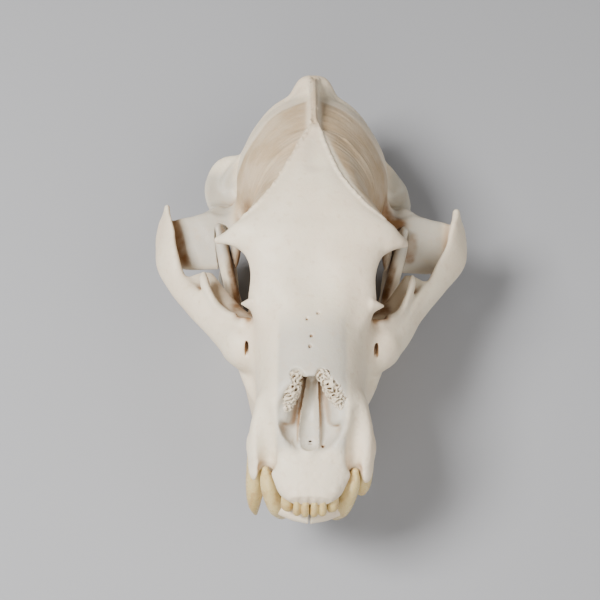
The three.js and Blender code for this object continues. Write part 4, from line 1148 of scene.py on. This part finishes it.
def sponge(name, stations, seed):
    """Thin broken bone inside the nose: a web of curved walls along a line."""
    step = 2 * math.pi / WEB_SIZE
    around = Ribbon(1, stations)
    axes = grid(around.low + MARGIN - 1, around.high - MARGIN + 1, WEB_STEP)
    shape = [len(axis) for axis in axes]
    places = np.stack(np.meshgrid(*axes, indexing="ij"), axis=-1).reshape(-1, 3)
    bent = places + np.stack([value_noise(places, 3.5, seed + i) for i in range(3)], axis=1) * 1.3
    a, b, c = (bent * step).T
    web = np.sin(a) * np.cos(b) + np.sin(b) * np.cos(c) + np.sin(c) * np.cos(a)
    walls = ((np.abs(web) - WEB_WALL) / (1.2 * step)).reshape(shape)
    ragged = value_noise(places, 2.2, seed + 9).reshape(shape) * 1.4
    edge = around.distance(*spread(axes))
    reach = edge + ragged
    field = np.maximum(np.maximum(walls, reach), edge)
    points, faces = surface(field.astype(np.float32), axes)
    inside = -sample(reach.astype(np.float32), axes, points)
    flat = np.zeros(len(points))
    # Painted shade: the web turns darker deeper inside its ragged edge.
    marks = {"hollow_shade": 0.8 * ease(0.6, 4, inside), "fossa": flat + 0.3, "stain_and_shade": flat, "cool": flat + 0.3}
    piece(name, points, faces, bone, marks)


def lower_jaw():
    """Both halves of the lower jaw. The grid gets one more layer so that the surface closes at the middle."""
    axes = grid(*JAW_SPAN, BONE_STEP)
    field = field_of(axes, JAW_FORMS, JAW_HOLLOWS)
    field = np.maximum(field, SYMPHYSIS_GAP / 2 - spread(axes)[0])
    axes[0] = np.concatenate([[-BONE_STEP], axes[0]]).astype(np.float32)
    field = np.concatenate([np.full((1,) + field.shape[1:], FAR, np.float32), field])
    points, faces = surface(field, axes)
    fossa = np.zeros(len(points))
    points, normals = weathered(points, faces, fossa)
    marks = bone_marks(points, normals, fossa, field, axes, jaw_shade_and_stain(points))
    left = piece("mandible_bone_left", points, faces, bone, marks)
    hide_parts("mandible_left")
    right = piece("mandible_bone_right", points * [-1, 1, 1], faces[:, ::-1], bone, marks)
    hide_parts("mandible_right")


cranium()
sponge("nose_scrolls_right", SCROLL_RIGHT, 30)
sponge("nose_scrolls_left", SCROLL_LEFT, 40)
lower_jaw()


# Stage, light and camera

def floor():
    mesh = bpy.data.meshes.new("floor")
    size = 6.0
    corners = [(-size, -size, 0), (size, -size, 0), (size, size, 0), (-size, size, 0)]
    mesh.from_pydata(corners, [], [(0, 1, 2, 3)])
    obj = bpy.data.objects.new("floor", mesh)
    bpy.context.collection.objects.link(obj)
    material = bpy.data.materials.new("floor")
    material.use_nodes = True
    shader = material.node_tree.nodes["Principled BSDF"]
    shader.inputs["Base Color"].default_value = (0.34, 0.34, 0.35, 1)
    shader.inputs["Roughness"].default_value = 0.9
    mesh.materials.append(material)


def area_light(name, place, aim, size, power):
    light = bpy.data.lights.new(name, "AREA")
    light.energy = power
    light.size = size
    obj = bpy.data.objects.new(name, light)
    obj.location = place
    obj.rotation_euler = (Vector(aim) - Vector(place)).to_track_quat("-Z", "Y").to_euler()
    bpy.context.collection.objects.link(obj)


def camera():
    """Camera of the photo, found in the skull's frame: elevation, bearing, roll and distance to the aim."""
    elevation = math.radians(46)
    bearing = math.radians(0.67)
    roll = math.radians(1.51)
    distance = 705.6
    aim = np.array([-6.745, 126.92, 85.5])
    forward = np.array([math.sin(bearing) * math.cos(elevation), math.cos(bearing) * math.cos(elevation),
                        -math.sin(elevation)])
    level = np.array([math.cos(bearing), -math.sin(bearing), 0])
    up = np.cross(level, forward)
    right = level * math.cos(roll) + up * math.sin(roll)
    top = up * math.cos(roll) - level * math.sin(roll)
    data = bpy.data.cameras.new("camera")
    data.sensor_width = 36
    data.lens = 72
    data.clip_end = 50
    obj = bpy.data.objects.new("camera", data)
    axes = TURN @ np.stack([right, top, -forward], axis=1)
    place = to_part((aim - forward * distance)[None])[0]
    matrix = Matrix.Identity(4)
    for i in range(3):
        for j in range(3):
            matrix[i][j] = axes[i, j]
        matrix[i][3] = place[i]
    obj.matrix_world = matrix
    bpy.context.collection.objects.link(obj)
    bpy.context.scene.camera = obj


floor()
area_light("key", (-0.8, -0.2, 1.25), (0, 0, 0.06), 0.5, 40)
area_light("fill", (0.9, -0.5, 1.0), (0, 0, 0.08), 1.0, 9)
area_light("front", (-0.15, -1.2, 0.8), (0, 0, 0.06), 0.8, 9)
world = bpy.data.worlds.new("world")
world.use_nodes = True
world.node_tree.nodes["Background"].inputs["Color"].default_value = (1, 0.97, 0.93, 1)
world.node_tree.nodes["Background"].inputs["Strength"].default_value = 0.16
bpy.context.scene.world = world
camera()
